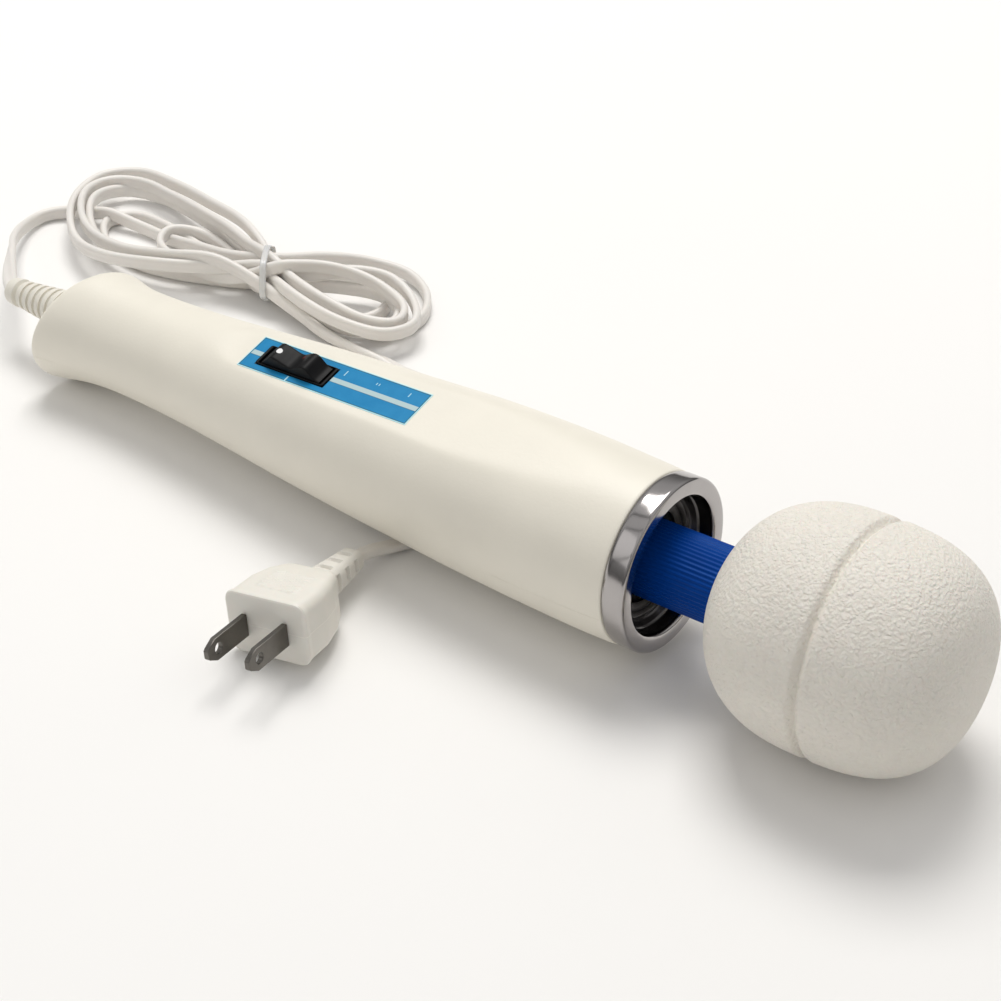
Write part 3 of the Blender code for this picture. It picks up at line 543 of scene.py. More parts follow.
# Each turn of the tied coil: out to the right and back through the tie, out to the left and back.
# (x, y, z) of the stations; the tie is near (-122, 65).
RIGHT = [
    [(-119, 70, 11), (-110, 84, 9), (-100, 96, 5), (-87, 100, 3), (-75, 94, 2.2), (-68, 82, 2.2),
     (-71, 70, 3), (-84, 63, 5), (-104, 62, 8)],
    [(-108, 68, 11.5), (-96, 80, 11.5), (-84, 86, 10), (-71, 82, 8), (-62.5, 72, 7.5),
     (-66, 62, 8), (-80, 57, 9.5), (-100, 58, 11)],
    [(-112, 68, 6.6), (-101, 76, 5.5), (-88, 82, 4), (-76, 80, 3.4), (-70.5, 71, 3.4),
     (-78, 62, 4), (-92, 59, 5.5), (-106, 59, 7)],
    [(-114, 74, 3), (-106, 86, 2.4), (-96, 90.5, 2.2), (-85.5, 87, 2.2), (-80.5, 76, 2.2),
     (-86, 66.5, 2.4), (-98, 63, 3)],
    [(-112, 64, 13), (-102, 74, 12.5), (-91, 79.5, 11), (-80, 80, 9.5), (-69, 75.5, 8.6),
     (-66.5, 68, 8.6), (-74, 62.5, 9.5), (-88, 61.5, 11), (-104, 63, 12.5)],
]
LEFT = [
    [(-131, 76, 12), (-146, 83, 11), (-165, 88, 9), (-186, 93, 6.5), (-202, 92, 6.5),
     (-210.5, 82, 7), (-208, 68, 7.6), (-198, 54, 8.4), (-183, 43, 8.5), (-166, 40, 10.5),
     (-148, 46, 11.6), (-132, 56, 12)],
    [(-134, 72, 8), (-152, 79, 6.5), (-172, 85, 4.5), (-190, 88, 3), (-201.5, 83, 4.4),
     (-203, 71, 6.4), (-193, 58, 6.8), (-176, 49, 5.6), (-158, 49, 7.6), (-140, 56, 8.4)],
    [(-138, 68, 3), (-156, 72, 2.4), (-174, 75, 2.2), (-187, 74, 2.2), (-193, 66, 2.2),
     (-184, 56, 2.2), (-168, 52, 2.4), (-150, 55, 3)],
    [(-133, 69, 5.4), (-146, 74, 4.6), (-158, 75.5, 4.4), (-167, 70, 4.6), (-164, 62, 5.2),
     (-152, 57.5, 5.8), (-138, 58, 6)],
    [(-128, 69, 13), (-143, 75, 12), (-160, 80, 10), (-180, 84.5, 8), (-196, 86, 7),
     (-206, 79.5, 7), (-206, 69, 8), (-196, 57, 9), (-180, 47.5, 10.5), (-163, 45, 12),
     (-146, 50, 13), (-130, 57, 13)],
]


def smooth_route(points, step):
    """Even points (x, y, z, twist) along a smooth curve through the stations."""
    p = np.array(points, float)
    p = np.vstack([2 * p[0] - p[1], p, 2 * p[-1] - p[-2]])
    t = np.linspace(0, 1, 40, endpoint=False)[:, None]
    out = []
    for a, b, c, d in zip(p, p[1:], p[2:], p[3:]):
        # centripetal spline, so that uneven stations make no loops
        ka = max(np.linalg.norm((b - a)[:3]), 1e-6) ** 0.5
        kb = max(np.linalg.norm((c - b)[:3]), 1e-6) ** 0.5
        kc = max(np.linalg.norm((d - c)[:3]), 1e-6) ** 0.5
        m1 = kb * ((b - a) / ka - (c - a) / (ka + kb) + (c - b) / kb)
        m2 = kb * ((c - b) / kb - (d - b) / (kb + kc) + (d - c) / kc)
        out.append((2 * t ** 3 - 3 * t ** 2 + 1) * b + (t ** 3 - 2 * t ** 2 + t) * m1
                   + (3 * t ** 2 - 2 * t ** 3) * c + (t ** 3 - t ** 2) * m2)
    dense = np.vstack(out + [p[-2][None]])
    s = np.r_[0, np.cumsum(np.linalg.norm(np.diff(dense[:, :3], axis=0), axis=1))]
    n = int(round(s[-1] / step))
    at = np.linspace(0, s[-1], n + 1)
    return np.column_stack([np.interp(at, s, dense[:, k]) for k in range(4)])


def cord_stations():
    route = list(LEAD)
    for right, left in zip(RIGHT, LEFT):
        route += [(*q, 90) for q in right]
        route += [(*q, 90) for q in left]
    return route + TAIL


def settle(centre):
    """Strands that cross lie beside or over each other, and none goes through the floor. Both
    ends of the cord stay where they are."""
    home = centre.copy()
    n = len(centre)
    free = np.zeros((n, 1))
    free[24:n - 118] = 1.0
    index = np.arange(n)
    apart = np.abs(index[:, None] - index[None]) > 9
    side = 1e-4 * (index[:, None] - index[None])
    move = np.zeros_like(centre)
    low = np.where(free[:, 0] > 0.5, CORD_REST, np.minimum(1.3, home[:, 2]))
    for _ in range(60):
        gap = centre[:, None] - centre[None]
        dist = np.linalg.norm(gap, axis=2)
        dist[~apart] = 99
        lack = np.clip(STRAND_GAP - dist, 0, None)
        way = gap / np.maximum(dist, 0.05)[..., None]
        way[..., 2] += 0.3 * np.sign(gap[..., 2] + side)
        push = (way * (lack * 0.25)[..., None]).sum(axis=1)
        move = (move + np.clip(push, -0.6, 0.6)) * free * 0.99
        for _ in range(2):
            move[1:-1] = (move[:-2] + 2 * move[1:-1] + move[2:]) / 4
        centre = home + move
        centre[:, 2] = np.maximum(centre[:, 2], low)
        move = centre - home
    for _ in range(2):
        centre[1:-1] = (centre[:-2] + 2 * centre[1:-1] + centre[2:]) / 4
    return centre


def tie(mat, centre):
    """A narrow strap drawn tight round every strand at the waist of the coil."""
    at, turn = Vector((-115.4, 61.0, 0)), math.radians(-60.0)
    along = Vector((math.cos(turn), math.sin(turn), 0))
    across = Vector((-math.sin(turn), math.cos(turn), 0))
    dots = []
    for p in centre:
        q = Vector(p) - at
        if abs(q.dot(across)) < 3.0 and abs(q.dot(along)) < 24:
            dots.append((q.dot(along), p[2]))
    cloud = [Vector((u + 2.0 * math.cos(a), max(0.35, z + 2.35 * math.sin(a))))
             for u, z in dots for a in np.linspace(0, 2 * math.pi, 20, endpoint=False)]
    hull = [cloud[i] for i in convex_hull_2d(cloud)]
    path = []
    for a, b in zip(hull, hull[1:] + hull[:1]):
        steps = max(1, int((b - a).length / 0.7))
        path += [a + (b - a) * (i / steps) for i in range(steps)]
    n = len(path)
    for _ in range(3):
        path = [(path[i - 1] + path[i] * 2 + path[(i + 1) % n]) / 4 for i in range(n)]
    verts = []
    section = [(-1.05, 0.0), (-0.9, 0.3), (-0.45, 0.38), (0.0, 0.26), (0.45, 0.38), (0.9, 0.3),
               (1.05, 0.0)]
    m = len(section)
    for i in range(n):
        t = (path[(i + 1) % n] - path[i - 1]).normalized()
        out = Vector((t.y, -t.x))
        for w, h in section:
            q = path[i] + out * h
            p = at + along * q.x + across * (w + 0.06 * q.x)
            verts.append((p.x, p.y, q.y))
    obj = piece("cord_tie_strap", verts, band(n, m, loop=True), mat, "handle", WORLD, 60)
    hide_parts("cord_tie")
    return obj


def cord(mat):
    pts = smooth_route(cord_stations(), CORD_STEP)
    centre = settle(pts[:, :3])
    twist = np.radians(pts[:, 3])
    tangent = np.gradient(centre, axis=0)
    tangent /= np.linalg.norm(tangent, axis=1)[:, None]
    side = np.cross(tangent, [0, 0, 1.0])
    side /= np.linalg.norm(side, axis=1)[:, None]
    up = np.cross(side, tangent)
    wide = side * np.cos(twist)[:, None] + up * np.sin(twist)[:, None]
    thin = np.cross(tangent, wide)
    # The flat twin section: two round insulated wires joined along a shallow web.
    outline = []
    r = CORD_H / 2
    off = CORD_W / 2 - r
    for a in range(-120, 121, 24):
        outline.append((off + r * math.cos(math.radians(a)), r * math.sin(math.radians(a))))
    for a in range(60, 301, 24):
        outline.append((-off + r * math.cos(math.radians(a)), r * math.sin(math.radians(a))))
    rows, n = len(centre), len(outline)
    verts = []
    for c, w, t in zip(centre, wide, thin):
        verts += [tuple(c + w * u + t * v) for u, v in outline]
    obj = piece("mains_cord", verts, band(rows, n) + caps(rows, n), mat, "handle", WORLD, 60)
    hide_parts("cord_lead", "cord_tail", "cord_hank")
    total = float(np.linalg.norm(np.diff(centre, axis=0), axis=1).sum()) * MM
    return obj, centre, total


# ---- handle
def label_height(x):
    return SWITCH_Z + (x - SWITCH_X) * math.tan(math.radians(SWITCH_SLOPE))


def case_point(x, r, a, side, inner):
    """A point of one half of the case: planed flat on top, slanted at the tail, level at the
    parting."""
    level = float(rise(x))
    y, z = r * math.cos(a), side * (r * math.sin(a) + SPLIT_GAP) + level
    flat = label_height(x) + 0.12 * max(0.0, FLAT_END - x)
    if inner:
        z = min(z, flat - 2.4)
    else:
        soft, gap = 0.16 + 0.3 * clamp((x + 74) / 30), z - (flat - 0.13)
        z -= soft * math.log1p(math.exp(min(60.0, gap / soft)))
    share = max(0.0, (SLANT_START - x) / (SLANT_START + 217))
    middle, left, top = SLANT
    x += share * (middle + (left * y + top * (z - level)) / 18.7)
    if math.sin(a) < 1e-6:
        z = PARTING_RISE * max(0.0, (-14 - x) / 203) + side * SPLIT_GAP
    return x, y, z


def ring_z(x, y, points, segs=28):
    """Verts and faces of a closed loop of (r, z) turned about an upright line."""
    verts = [(x + r * math.cos(2 * math.pi * j / segs),
              y + r * math.sin(2 * math.pi * j / segs), z)
             for j in range(segs) for r, z in points]
    return verts, band(segs, len(points), loop=True)


def case_half(name, side, mat):
    segs = 96
    xs = [-215.2, -213.6] + list(np.linspace(-211.5, -10, 68)) + [-8.6]
    outer = [(-217, 1.0), (-217, 5.0), (-217, 9.0), (-217, 13.0), (-217, 16.6), (-216.94, 17.35),
             (-216.75, 17.9), (-216.4, 18.25), (-215.9, 18.42)]
    outer += [(x, float(body_r(x))) for x in xs] + [(-7.5, 23.68), (-6.95, 23.6), (-6.7, 23.42),
                                                   (-6.6, 23.2)]
    inner = []
    for x, r in outer:
        if x < -214.6:
            inner.append((-214.6, r * 15.4 / 18.42))
        else:
            inner.append((x, min(float(body_r(x)) - WALL, 21.65 if x > -13.6 else 99)))
    inner[-4:] = [(-7.5, 21.65), (-6.95, 21.65), (-6.7, 21.65), (-6.6, 21.65)]
    rows = len(outer)
    loop = [(x, r, False) for x, r in outer] + [(x, r, True) for x, r in inner[::-1]]
    n = len(loop)
    verts = [case_point(x, r, math.pi * j / segs, side, f)
             for j in range(segs + 1) for x, r, f in loop]
    faces = band(segs + 1, n)
    for j in (0, segs):
        faces += [[j * n + i, j * n + i + 1, j * n + n - 2 - i, j * n + n - 1 - i]
                  for i in range(rows - 1)]
    obj = piece(name + "_fine", verts, faces, mat, None, WAND, 30)
    for cutter in case_cutters(side):
        cut(obj, cutter)
    extra_v, extra_f = [], []
    for _, x, y in SCREWS:
        r = float(body_r(x)) - WALL
        roof = float(rise(x)) + side * math.sqrt((r + 0.8) ** 2 - (abs(y) + 3.6) ** 2)
        if side > 0:
            v, f = ring_z(x, y, [(1.35, 0.35), (3.6, 0.35), (3.6, roof), (1.35, roof)])
        else:
            low = float(rise(x)) - math.sqrt(r * r - y * y)
            seat = low + SCREW_SEAT
            v, f = ring_z(x, y, [(1.7, -0.35), (3.6, -0.35), (3.6, roof), (2.92, roof),
                                 (2.92, seat), (1.7, seat)])
        extra_f += [[i + len(extra_v) for i in q] for q in f]
        extra_v += v
    posts = piece(name + "_posts", extra_v, extra_f, mat, None)
    join(obj, posts)
    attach(obj, "handle")
    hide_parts(name)
    return obj


def case_cutters(side):
    mat = bpy.data.materials.new("cutter")
    tail = piece("cut_tail", *solid_x([(TAIL_HOLE * 1.01 * math.cos(math.radians(a)),
                                        TAIL_HOLE_Z + TAIL_HOLE * 1.01 * math.sin(math.radians(a)))
                                       for a in range(0, 360, 5)], -226, -202), mat, None)
    out = [tail]
    if side > 0:
        v, f = solid_x([(-4.25, -7), (4.25, -7), (4.25, 7), (-4.25, 7)], -12.85, 12.85)
        out.append(piece("cut_window", v, f, mat, None, SWITCH))
    else:
        for k, (_, x, y) in enumerate(SCREWS):
            v, f = ring_z(x, y, [(0.001, -12), (2.9, -12), (2.9, -32), (0.001, -32)], 40)
            out.append(piece(f"cut_recess_{k}", v, f, mat, None))
    return out


def solid_x(outline, low, high):
    """Verts and faces of an outline in y and z drawn out along x."""
    n = len(outline)
    verts = [(low, u, v) for u, v in outline] + [(high, u, v) for u, v in outline]
    return verts, caps(2, n) + band(2, n)


def join(target, other):
    """Add the other's mesh, which has the same frame, to the target's."""
    bm = bmesh.new()
    bm.from_mesh(target.data)
    bm.from_mesh(other.data)
    bm.to_mesh(target.data)
    bm.free()
    bpy.data.objects.remove(other, do_unlink=True)
    smooth(target.data, 30)


def case_screws(mat):
    """Pan screws with a cross slot, seated in the lower case."""
    for label, x, y in SCREWS:
        r = float(body_r(x)) - WALL
        seat = float(rise(x)) - math.sqrt(r * r - y * y) + SCREW_SEAT - 0.3
        verts, faces = ring_z(x, y, [(0.001, seat - 2.2), (0.9, seat - 2.2), (1.6, seat - 2.08),
                                     (2.15, seat - 1.75), (2.42, seat - 1.2), (2.5, seat - 0.7),
                                     (2.5, seat - 0.1), (2.42, seat), (1.15, seat),
                                     (1.1, seat + 0.3), (1.1, 6.3), (0.5, 7.0),
                                     (0.001, 7.0)], 32)
        obj = piece(f"case_screw_{label}_fine", verts, faces, mat, None)
        for turn in (0.0, math.pi / 2):
            u, v = 1.45, 0.24
            ring = [(-u, -v), (u, -v), (u, v), (-u, v)]
            c, s = math.cos(turn + 0.4), math.sin(turn + 0.4)
            base = [(x + p * c - q * s, y + p * s + q * c) for p, q in ring]
            verts = [(p, q, seat - 3) for p, q in base] + [(p, q, seat - 1.25) for p, q in base]
            cut(obj, piece("cut_slot", verts, caps(2, 4) + band(2, 4), mat, None))
        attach(obj, "handle")
        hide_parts(f"case_screw_{label}")


def label_plate(mat):
    x0, x1, y1 = LABEL_START, LABEL_END, LABEL_HALF
    outer = [(x0, -y1), (x1, -y1), (x1, y1), (x0, y1)]
    hx = 12.72
    inner = [(SWITCH_X - hx, -4.02), (SWITCH_X + hx, -4.02), (SWITCH_X + hx, 4.02),
             (SWITCH_X - hx, 4.02)]
    verts = []
    for drop in (0.0, 0.16):
        for ring in (outer, inner):
            verts += [(x, y, label_height(x) - drop) for x, y in ring]
    faces = []
    for i in range(4):
        k = (i + 1) % 4
        faces += [[i, k, 4 + k, 4 + i], [8 + i, 12 + i, 12 + k, 8 + k], [i, 8 + i, 8 + k, k],
                  [4 + i, 4 + k, 12 + k, 12 + i]]
    obj = piece("label_plate_fine", verts, faces, mat, "handle", WAND, 30, True)
    bevel(obj, 0.05, 2)
    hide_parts("label_plate")


# ---- switch
def stack(levels, n=7):
    """Verts and faces through level rounded rectangles (z, w, h, r), capped at both ends."""
    v, f = loft([(z, rounded(w, h, r, n)) for z, w, h, r in levels])
    return [(b, c, a) for a, b, c in v], f


def switch(body_mat, rocker_mat):
    verts, faces = stack([(-12.1, 24.4, 7.1, 0.5), (-11.8, 25.0, 7.7, 0.7), (0.25, 25.0, 7.7, 0.7),
                          (0.42, 24.9, 7.6, 0.65), (0.5, 24.7, 7.4, 0.6), (0.5, 23.5, 7.12, 0.4),
                          (0.42, 23.26, 6.98, 0.36), (0.2, 23.1, 6.9, 0.34),
                          (-6.7, 23.1, 6.9, 0.34)])
    obj = piece("switch_housing_fine", verts, faces, body_mat, "handle", SWITCH, 40)
    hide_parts("switch_housing")
    top = [(-10.8, 0.3), (-8.4, 2.1), (-6.6, 3.7), (-5.4, 4.05), (-4.3, 3.8), (-2.2, 3.0),
           (0.0, 2.25), (1.4, 2.35), (2.9, 3.05), (4.8, 4.0), (6.2, 4.2), (7.1, 3.8), (8.3, 2.1),
           (9.3, 1.0), (10.8, 0.4)]
    xs = np.linspace(-10.8, 10.8, 73)
    crown = [(float(x), float(spline(top, x))) for x in xs]
    profile = [(-10.8, -1.6)] + crown + [(10.8, -1.6), (3.6, -4.6), (-3.6, -4.6)]
    ys = [-3.28, -3.21, -3.05, -2.7, -1.6, -0.6, 0.6, 1.6, 2.7, 3.05, 3.21, 3.28]
    drop = [0.36, 0.19, 0.07, 0.03, 0.0, 0.0, 0.0, 0.0, 0.03, 0.07, 0.19, 0.36]
    verts, rows, n = [], len(ys), len(profile)
    for y, d in zip(ys, drop):
        for x, z in profile:
            low = clamp((z + 1.0) / 1.2)
            ridge = 0.0
            if -8.1 < x < -6.7 or 7.4 < x < 8.6:
                ridge = 0.09 * math.cos(2 * math.pi * x / 0.62)
            verts.append((x, y, z - d * low + (ridge * low if abs(y) < 2.6 else 0)))
    obj = piece("switch_rocker_fine", verts, caps(rows, n) + band(rows, n), rocker_mat,
                "rocker", SWITCH, 40, True)
    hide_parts("switch_rocker")


# ---- collar and neck
def collar(ring_mat, dish_mat):
    ring = [(-6.3, 23.15), (-6.2, 23.4), (-5.9, 23.55), (-5.4, 23.63), (-5.0, 23.65), (-3, 23.65),
            (-1.05, 23.65), (-0.7, 23.6), (-0.4, 23.46), (-0.15, 23.2), (-0.03, 22.9), (0, 22.6),
            (0, 21.2), (0, 20.0), (-0.06, 19.6), (-0.25, 19.2), (-0.5, 19.0), (-0.9, 18.94),
            (-3.6, 19.0), (-6.3, 19.1), (-13.2, 19.5), (-13.2, 21.25), (-6.4, 21.25)]
    obj = piece("collar_ring_fine", *lathe(ring, 192, closed=True), ring_mat, "handle", WAND, 32)
    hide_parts("collar_ring")
    dish = [(-1.2, 18.6), (-1.6, 18.52), (-3.4, 18.42), (-4.2, 18.25), (-4.5, 17.85),
            (-4.75, 17.7), (-6.0, 17.45), (-6.5, 17.1), (-6.62, 16.5), (-6.9, 16.35),
            (-7.15, 15.6), (-7.2, 15.0), (-7.5, 14.85), (-7.62, 14.0), (-7.8, 13.2), (-7.8, 12.6),
            (-8.8, 12.6), (-8.8, 14.2), (-7.9, 17.0), (-7.0, 17.9), (-5.0, 18.6)]
    obj = piece("collar_dish_fine", *lathe(dish, 160, closed=True), dish_mat, "handle", WAND, 30)
    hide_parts("collar_dish")


def neck(mat):
    outer = [(-9, 10.1), (-8.9, 10.3), (-8.6, 10.4)] + [(x, 10.4) for x in
                                                      np.linspace(-7.5, 16.6, 18)]
    outer += [(17.1, 10.38), (17.4, 10.25), (17.5, 10.0)]
    inner = [(17.5, 8.7)] + [(x, 8.7) for x in np.linspace(16, -8, 8)] + [(-9, 8.7)]

    def flute(x, r, a):
        if r < 9.5:
            return r
        return r - 0.26 * (0.5 - 0.5 * math.cos(54 * a)) ** 0.8
    obj = piece("neck_sleeve_fine", *lathe(outer + inner, 432, flute, closed=True), mat,
                None, WAND, 50)
    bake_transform(obj)
    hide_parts("neck_sleeve")


# ---- head
def head_point(angle, inset, front):
    t = math.radians(angle)
    power = 2 / (2.84 if front else 2.42)
    reach = (HEAD_TIP - HEAD_MID if front else HEAD_MID - HEAD_BACK) - inset
    x = HEAD_MID + (1 if front else -1) * reach * math.sin(t) ** power
    return x, (HEAD_R - inset) * max(0.0, math.cos(t)) ** power


def head(mat):
    def back(inset, radius, steps):
        top = math.degrees(math.acos((radius / (HEAD_R - inset)) ** 1.21))
        return [head_point(top * (1 - (i / steps) ** 1.25), inset, False) for i in range(steps)]

    def front(inset, steps):
        pts = [head_point(90 * (i / steps) ** 0.9, inset, True) for i in range(steps + 1)]
        return pts[:-1] + [(pts[-1][0], 0.0)]
    lip_x = head_point(math.degrees(math.acos((11.0 / HEAD_R) ** 1.21)), 0, False)[0]
    lip = [(lip_x + 0.75, 10.72), (lip_x + 0.3, 10.62), (lip_x + 0.08, 10.66), (lip_x, 10.8)]
    groove = [(49.8, 30.98), (50.3, 30.82), (50.75, 30.45), (51.15, 29.95), (51.5, 29.48),
              (51.85, 29.3), (52.2, 29.48), (52.55, 29.95), (52.95, 30.45), (53.4, 30.8),
              (53.9, 30.95)]
    outer = lip + back(0, 11.0, 34) + [(48, 31), (49.1, 31)] + groove
    outer += [p for p in front(0, 60) if p[0] > 54.5]
    inner = [(lip_x + 3.4, 11.6)] + back(3.5, 11.7, 12) + front(3.5, 14)
    obj = piece("head_cover_fine", *lathe(inner[::-1] + outer, 176), mat, "head", WAND, 50)
    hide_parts("head_cover")


# ---- tail boot and plug
def boot(mat):
    prof = [(-200.4, 0.0), (-200.4, 4.4), (-200.5, 4.6), (-200.8, 8.1), (-201.0, 8.2),
            (-204.5, 8.2), (-204.6, 8.1), (-204.6, 6.05), (-210, 6.0), (-214, 6.02),
            (-217.2, 6.2), (-217.5, 6.5)]
    for k in range(7):
        x, r = -218.6 - k * 3.1, 6.4 - k * 0.33
        prof += [(x + 0.35, r + 0.08), (x, r + 0.12), (x - 0.75, r + 0.08), (x - 1.3, r),
                 (x - 1.5, r - 0.12), (x - 1.62, r - 0.5), (x - 1.72, r - 0.85),
                 (x - 1.95, r - 0.98), (x - 2.3, r - 1.02), (x - 2.65, r - 0.95),
                 (x - 2.82, r - 0.7)]
    prof += [(-240.5, 4.5), (-242.4, 4.35), (-243.8, 4.15), (-244.5, 3.8), (-244.75, 3.4),
             (-244.8, 2.9), (-244.8, 0.0)]
    obj = piece("strain_relief_boot_fine", *lathe(prof, 120, lift=lambda x: TAIL_HOLE_Z),
                mat, "handle", WAND, 42)
    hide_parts("strain_relief_boot")


def fine_rounded(w, h, r, long_n, short_n, n=7):
    """A rounded rectangle whose straight sides are divided too."""
    pts = []
    corners = rounded(w, h, r, n)
    for k in range(4):
        group = corners[k * n:(k + 1) * n]
        pts += group
        a, b = group[-1], corners[(k * n + n) % (4 * n)]
        m = long_n if k % 2 == 0 else short_n
        pts += [(a[0] + (b[0] - a[0]) * i / m, a[1] + (b[1] - a[1]) * i / m) for i in range(1, m)]
    return pts


def plug(mat, boot_mat, blade_mat):
    sizes = [(0, 0.955, 0.94), (-0.12, 0.985, 0.975), (-0.35, 1.02, 1.02), (-0.8, 1.04, 1.04),
             (-1.5, 1.035, 1.035), (-2.2, 1.012, 1.01), (-10, 1.0, 1.0), (-16, 0.88, 0.94),
             (-21, 0.68, 0.82), (-22.6, 0.56, 0.73), (-23, 0.5, 0.68)]
    wides, highs = [(x, a) for x, a, b in sizes[::-1]], [(x, b) for x, a, b in sizes[::-1]]
    xs = [0, -0.12, -0.35, -0.8, -1.5, -2.2] + list(np.linspace(-2.8, -22.6, 100)) + [-23]
    sections = []
    for x in xs:
        a = float(np.interp(x, *zip(*wides)))
        b = float(np.interp(x, *zip(*highs)))
        ring = []
        for u, v in fine_rounded(PLUG_W * a * 0.96, PLUG_H * b * 0.96, 3.0 * min(a, b), 26, 10):
            grip = clamp((6.2 - abs(u)) / 0.6) * clamp((abs(v) - 5) / 0.3)
            grip *= clamp((-5.0 - x) / 0.5) * clamp((x + 15.5) / 0.5)
            wave = 0.5 + 0.5 * math.cos(2 * math.pi * (x + 0.5 * u) / 1.5)
            ring.append((u, v + math.copysign(0.62 * grip * (wave - 0.35), v)))
        sections.append((x, ring))
    obj = piece("plug_body_fine", *loft(sections), mat, "handle", PLUG, 32, True)
    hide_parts("plug_body")
    for side, name in ((1, "left"), (-1, "right")):
        h, tip, half = BLADE_HALF_H, BLADE_TIP, BLADE_THICK / 2
        outline = [(0.3, -h), (tip - 3.4, -h), (tip - 0.5, -h + 1.55), (tip, -h + 2.1),
                   (tip, h - 2.1), (tip - 0.5, h - 1.55), (tip - 3.4, h), (0.3, h)]
        hole = [(12.6 + 1.5 * math.cos(a), 1.5 * math.sin(a))
                for a in np.linspace(0, 6.2832, 49)[:-1]]
        solids = []
        for ring, reach in ((outline, half), (hole, 2)):
            verts = [(x, side * BLADE_OFFSET + t, z) for t in (-reach, reach) for x, z in ring]
            solids.append((verts, caps(2, len(ring)) + band(2, len(ring))))
        obj = piece(f"plug_blade_{name}_fine", *solids[0], blade_mat, None, PLUG, 30)
        cut(obj, piece("cut_hole", *solids[1], blade_mat, None, PLUG))
        bevel(obj, 0.16, 3, 30)
        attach(obj, "handle")
        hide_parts(f"plug_blade_{name}")
    sections = []
    for x in list(np.linspace(-23.3, -40.2, 110)) + [-40.4, -40.5]:
        w = float(np.interp(x, (-40.5, -23.3), (6.8, 9.8)))
        h = float(np.interp(x, (-40.5, -23.3), (6.1, 9.2)))
        end = 0.35 if x < -40.45 else (0.12 if x < -40.3 else 0.0)
        ring = []
        for u, v in fine_rounded(w - end, h - end, 0.36 * min(w, h), 5, 5, 10):
            a = math.degrees(math.atan2(v, u))
            depth = 0.0
            for start in (-27.2, -31.9, -36.6):
                off = abs((a + 45) % 90 - 45)
                slot_x = min(1.0, max(0.0, 1 - abs(x - start) / 0.95) / 0.3)
                slot_a = clamp((31 - off) / 3.0)
                depth = max(depth, slot_x * slot_a)
            k = 1 - 0.26 * depth
            ring.append((u * k, v * k))
        sections.append((x, ring))
    obj = piece("plug_boot_fine", *loft(sections), boot_mat, "handle", PLUG, 38)
    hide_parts("plug_boot")


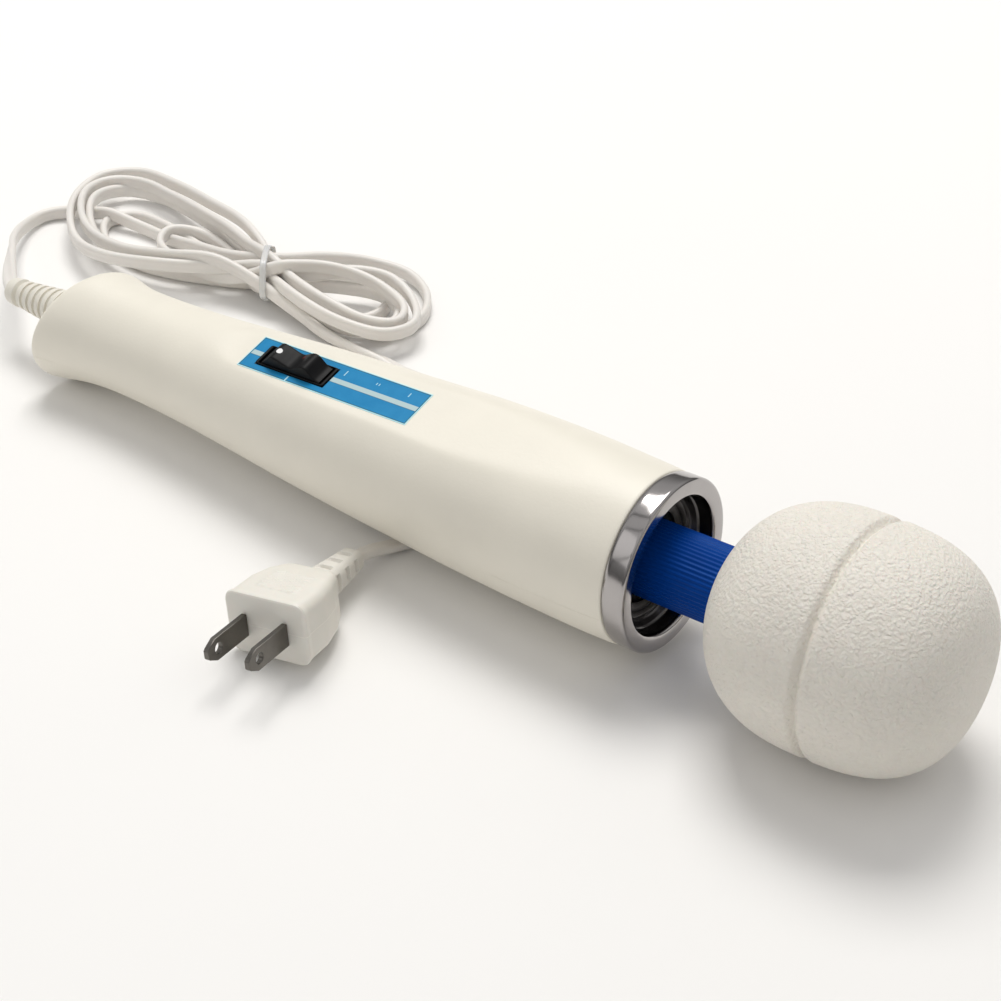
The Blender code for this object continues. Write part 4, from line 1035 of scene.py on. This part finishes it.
# ---- inside
def inner_finishes():
    """Finishes for the working parts inside, whose CAD shapes stay."""
    steel = metal("steel_turned", (0.52, 0.53, 0.55), 0.26, 0.35, 0.12, (0.05, 1, 1))
    spring = metal("steel_spring", (0.46, 0.47, 0.49), 0.3, 0.3, 0.2)
    brass = metal("brass_stamped", (0.72, 0.52, 0.22), 0.28, 0.35, 0.18)
    copper = metal("copper_wound", (0.66, 0.27, 0.12), 0.34, 0.8, 0.25, (1, 0.08, 0.08))
    iron = metal("iron_laminated", (0.28, 0.28, 0.30), 0.42, 0.9, 0.25, (1, 0.06, 0.06))
    lead = metal("weight_cast", (0.33, 0.33, 0.34), 0.5, 0.5, 0.25)
    dark = moulded("plastic_dark", (0.035, 0.035, 0.04), 0.45, 900, 0.00006, 0.2)
    rubber = moulded("rubber_mount", (0.03, 0.03, 0.03), 0.75, 700, 0.0001, 0.25)
    carbon = moulded("carbon_brush", (0.025, 0.025, 0.03), 0.6, 1500, 0.00008, 0.3)
    magnet = moulded("ferrite", (0.09, 0.09, 0.10), 0.55, 1100, 0.0001, 0.2)
    shell = moulded("plastic_white", (0.66, 0.66, 0.64), 0.42, 800, 0.00005, 0.05)
    board = moulded("board_green", (0.03, 0.17, 0.07), 0.35, 500, 0.00003, 0.15, coat=0.4)
    ceramic = moulded("ceramic_body", (0.70, 0.67, 0.60), 0.6, 1200, 0.00008, 0.08)
    sleeve = moulded("capacitor_sleeve_blue", (0.03, 0.07, 0.24), 0.3, 400, 0.00003, 0.1)
    grey = moulded("cord_inner", (0.58, 0.56, 0.52), 0.45, 1400, 0.00004, 0.05)
    table = {
        steel: ["motor_can", "motor_shaft", "drive_link", "eccentric_shaft", "clamp_screw_left",
                "clamp_screw_right"],
        spring: ["neck_spring"],
        brass: ["motor_front_bearing", "motor_rear_bearing", "commutator", "switch_terminal_1",
                "switch_terminal_2", "switch_terminal_3", "head_rear_bearing",
                "head_front_bearing"],
        copper: ["winding_front", "winding_rear"], iron: ["armature_core"],
        lead: ["eccentric_weight"],
        dark: ["motor_end_cap", "brush_plate", "cord_clamp", "bridge_rectifier"],
        rubber: ["motor_mount_front", "motor_mount_rear", "shaft_coupling"],
        carbon: ["motor_brush_left", "motor_brush_right"],
        magnet: ["motor_magnet_upper", "motor_magnet_lower"],
        shell: ["head_shell_rear", "head_shell_front"], board: ["rectifier_board"],
        ceramic: ["dropper_resistor"], sleeve: ["smoothing_capacitor"], grey: ["inner_cord"],
    }
    for mat, names in table.items():
        for name in names:
            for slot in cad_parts[name].material_slots:
                slot.material = mat


# ---- build
def build():
    camera()
    floor()
    lighting()
    cord_piece, route, length = cord(
        moulded("cord_vinyl", (0.81, 0.78, 0.74), 0.4, 1400, 0.00004, 0.04, subsurface=0.05))
    strap = tie(moulded("tie_clear", (0.66, 0.66, 0.65), 0.25, 900, 0.00003, 0.04,
                        subsurface=0.2), route)
    cream = moulded("case_cream_fine", (0.85, 0.81, 0.71), 0.42, 900, 0.00009, 0.03)
    case_half("upper_case", 1, cream)
    case_half("lower_case", -1, cream)
    case_screws(metal("screw_steel", (0.5, 0.51, 0.53), 0.3, 0.3, 0.15))
    label_plate(label_print("label_print"))
    switch(moulded("switch_frame_black", (0.004, 0.004, 0.0045), 0.5, 1600, 0.00004, 0.25, 0.16),
           switch_black("rocker_black"))
    # The dish inside the collar is the ring's nickel darkened from 0.43 to 0.11: painted shade for
    # the recess.
    collar(metal("collar_nickel", (0.43, 0.41, 0.405), 0.08, 0.04, 0.1),
           metal("dish_nickel_painted_shade", (0.11, 0.105, 0.105), 0.12, 0.06, 0.25))
    neck(neck_rubber("neck_blue_rubber"))
    head(vinyl("head_vinyl_fine", (0.85, 0.81, 0.735)))
    boot(moulded("boot_vinyl", (0.78, 0.75, 0.67), 0.42, 1200, 0.00005, 0.03, subsurface=0.05))
    plug(plug_vinyl("plug_vinyl_cream", (0.79, 0.765, 0.70)),
         moulded("plug_boot_vinyl", (0.77, 0.745, 0.69), 0.42, 1200, 0.00005, 0.03,
                 subsurface=0.05),
         metal("blade_nickel", (0.17, 0.16, 0.145), 0.24, 0.25, 0.25, (0.08, 1, 1)))
    inner_finishes()
    return cord_piece, route, length, strap


cord_piece, cord_route, cord_length, cord_strap = build()
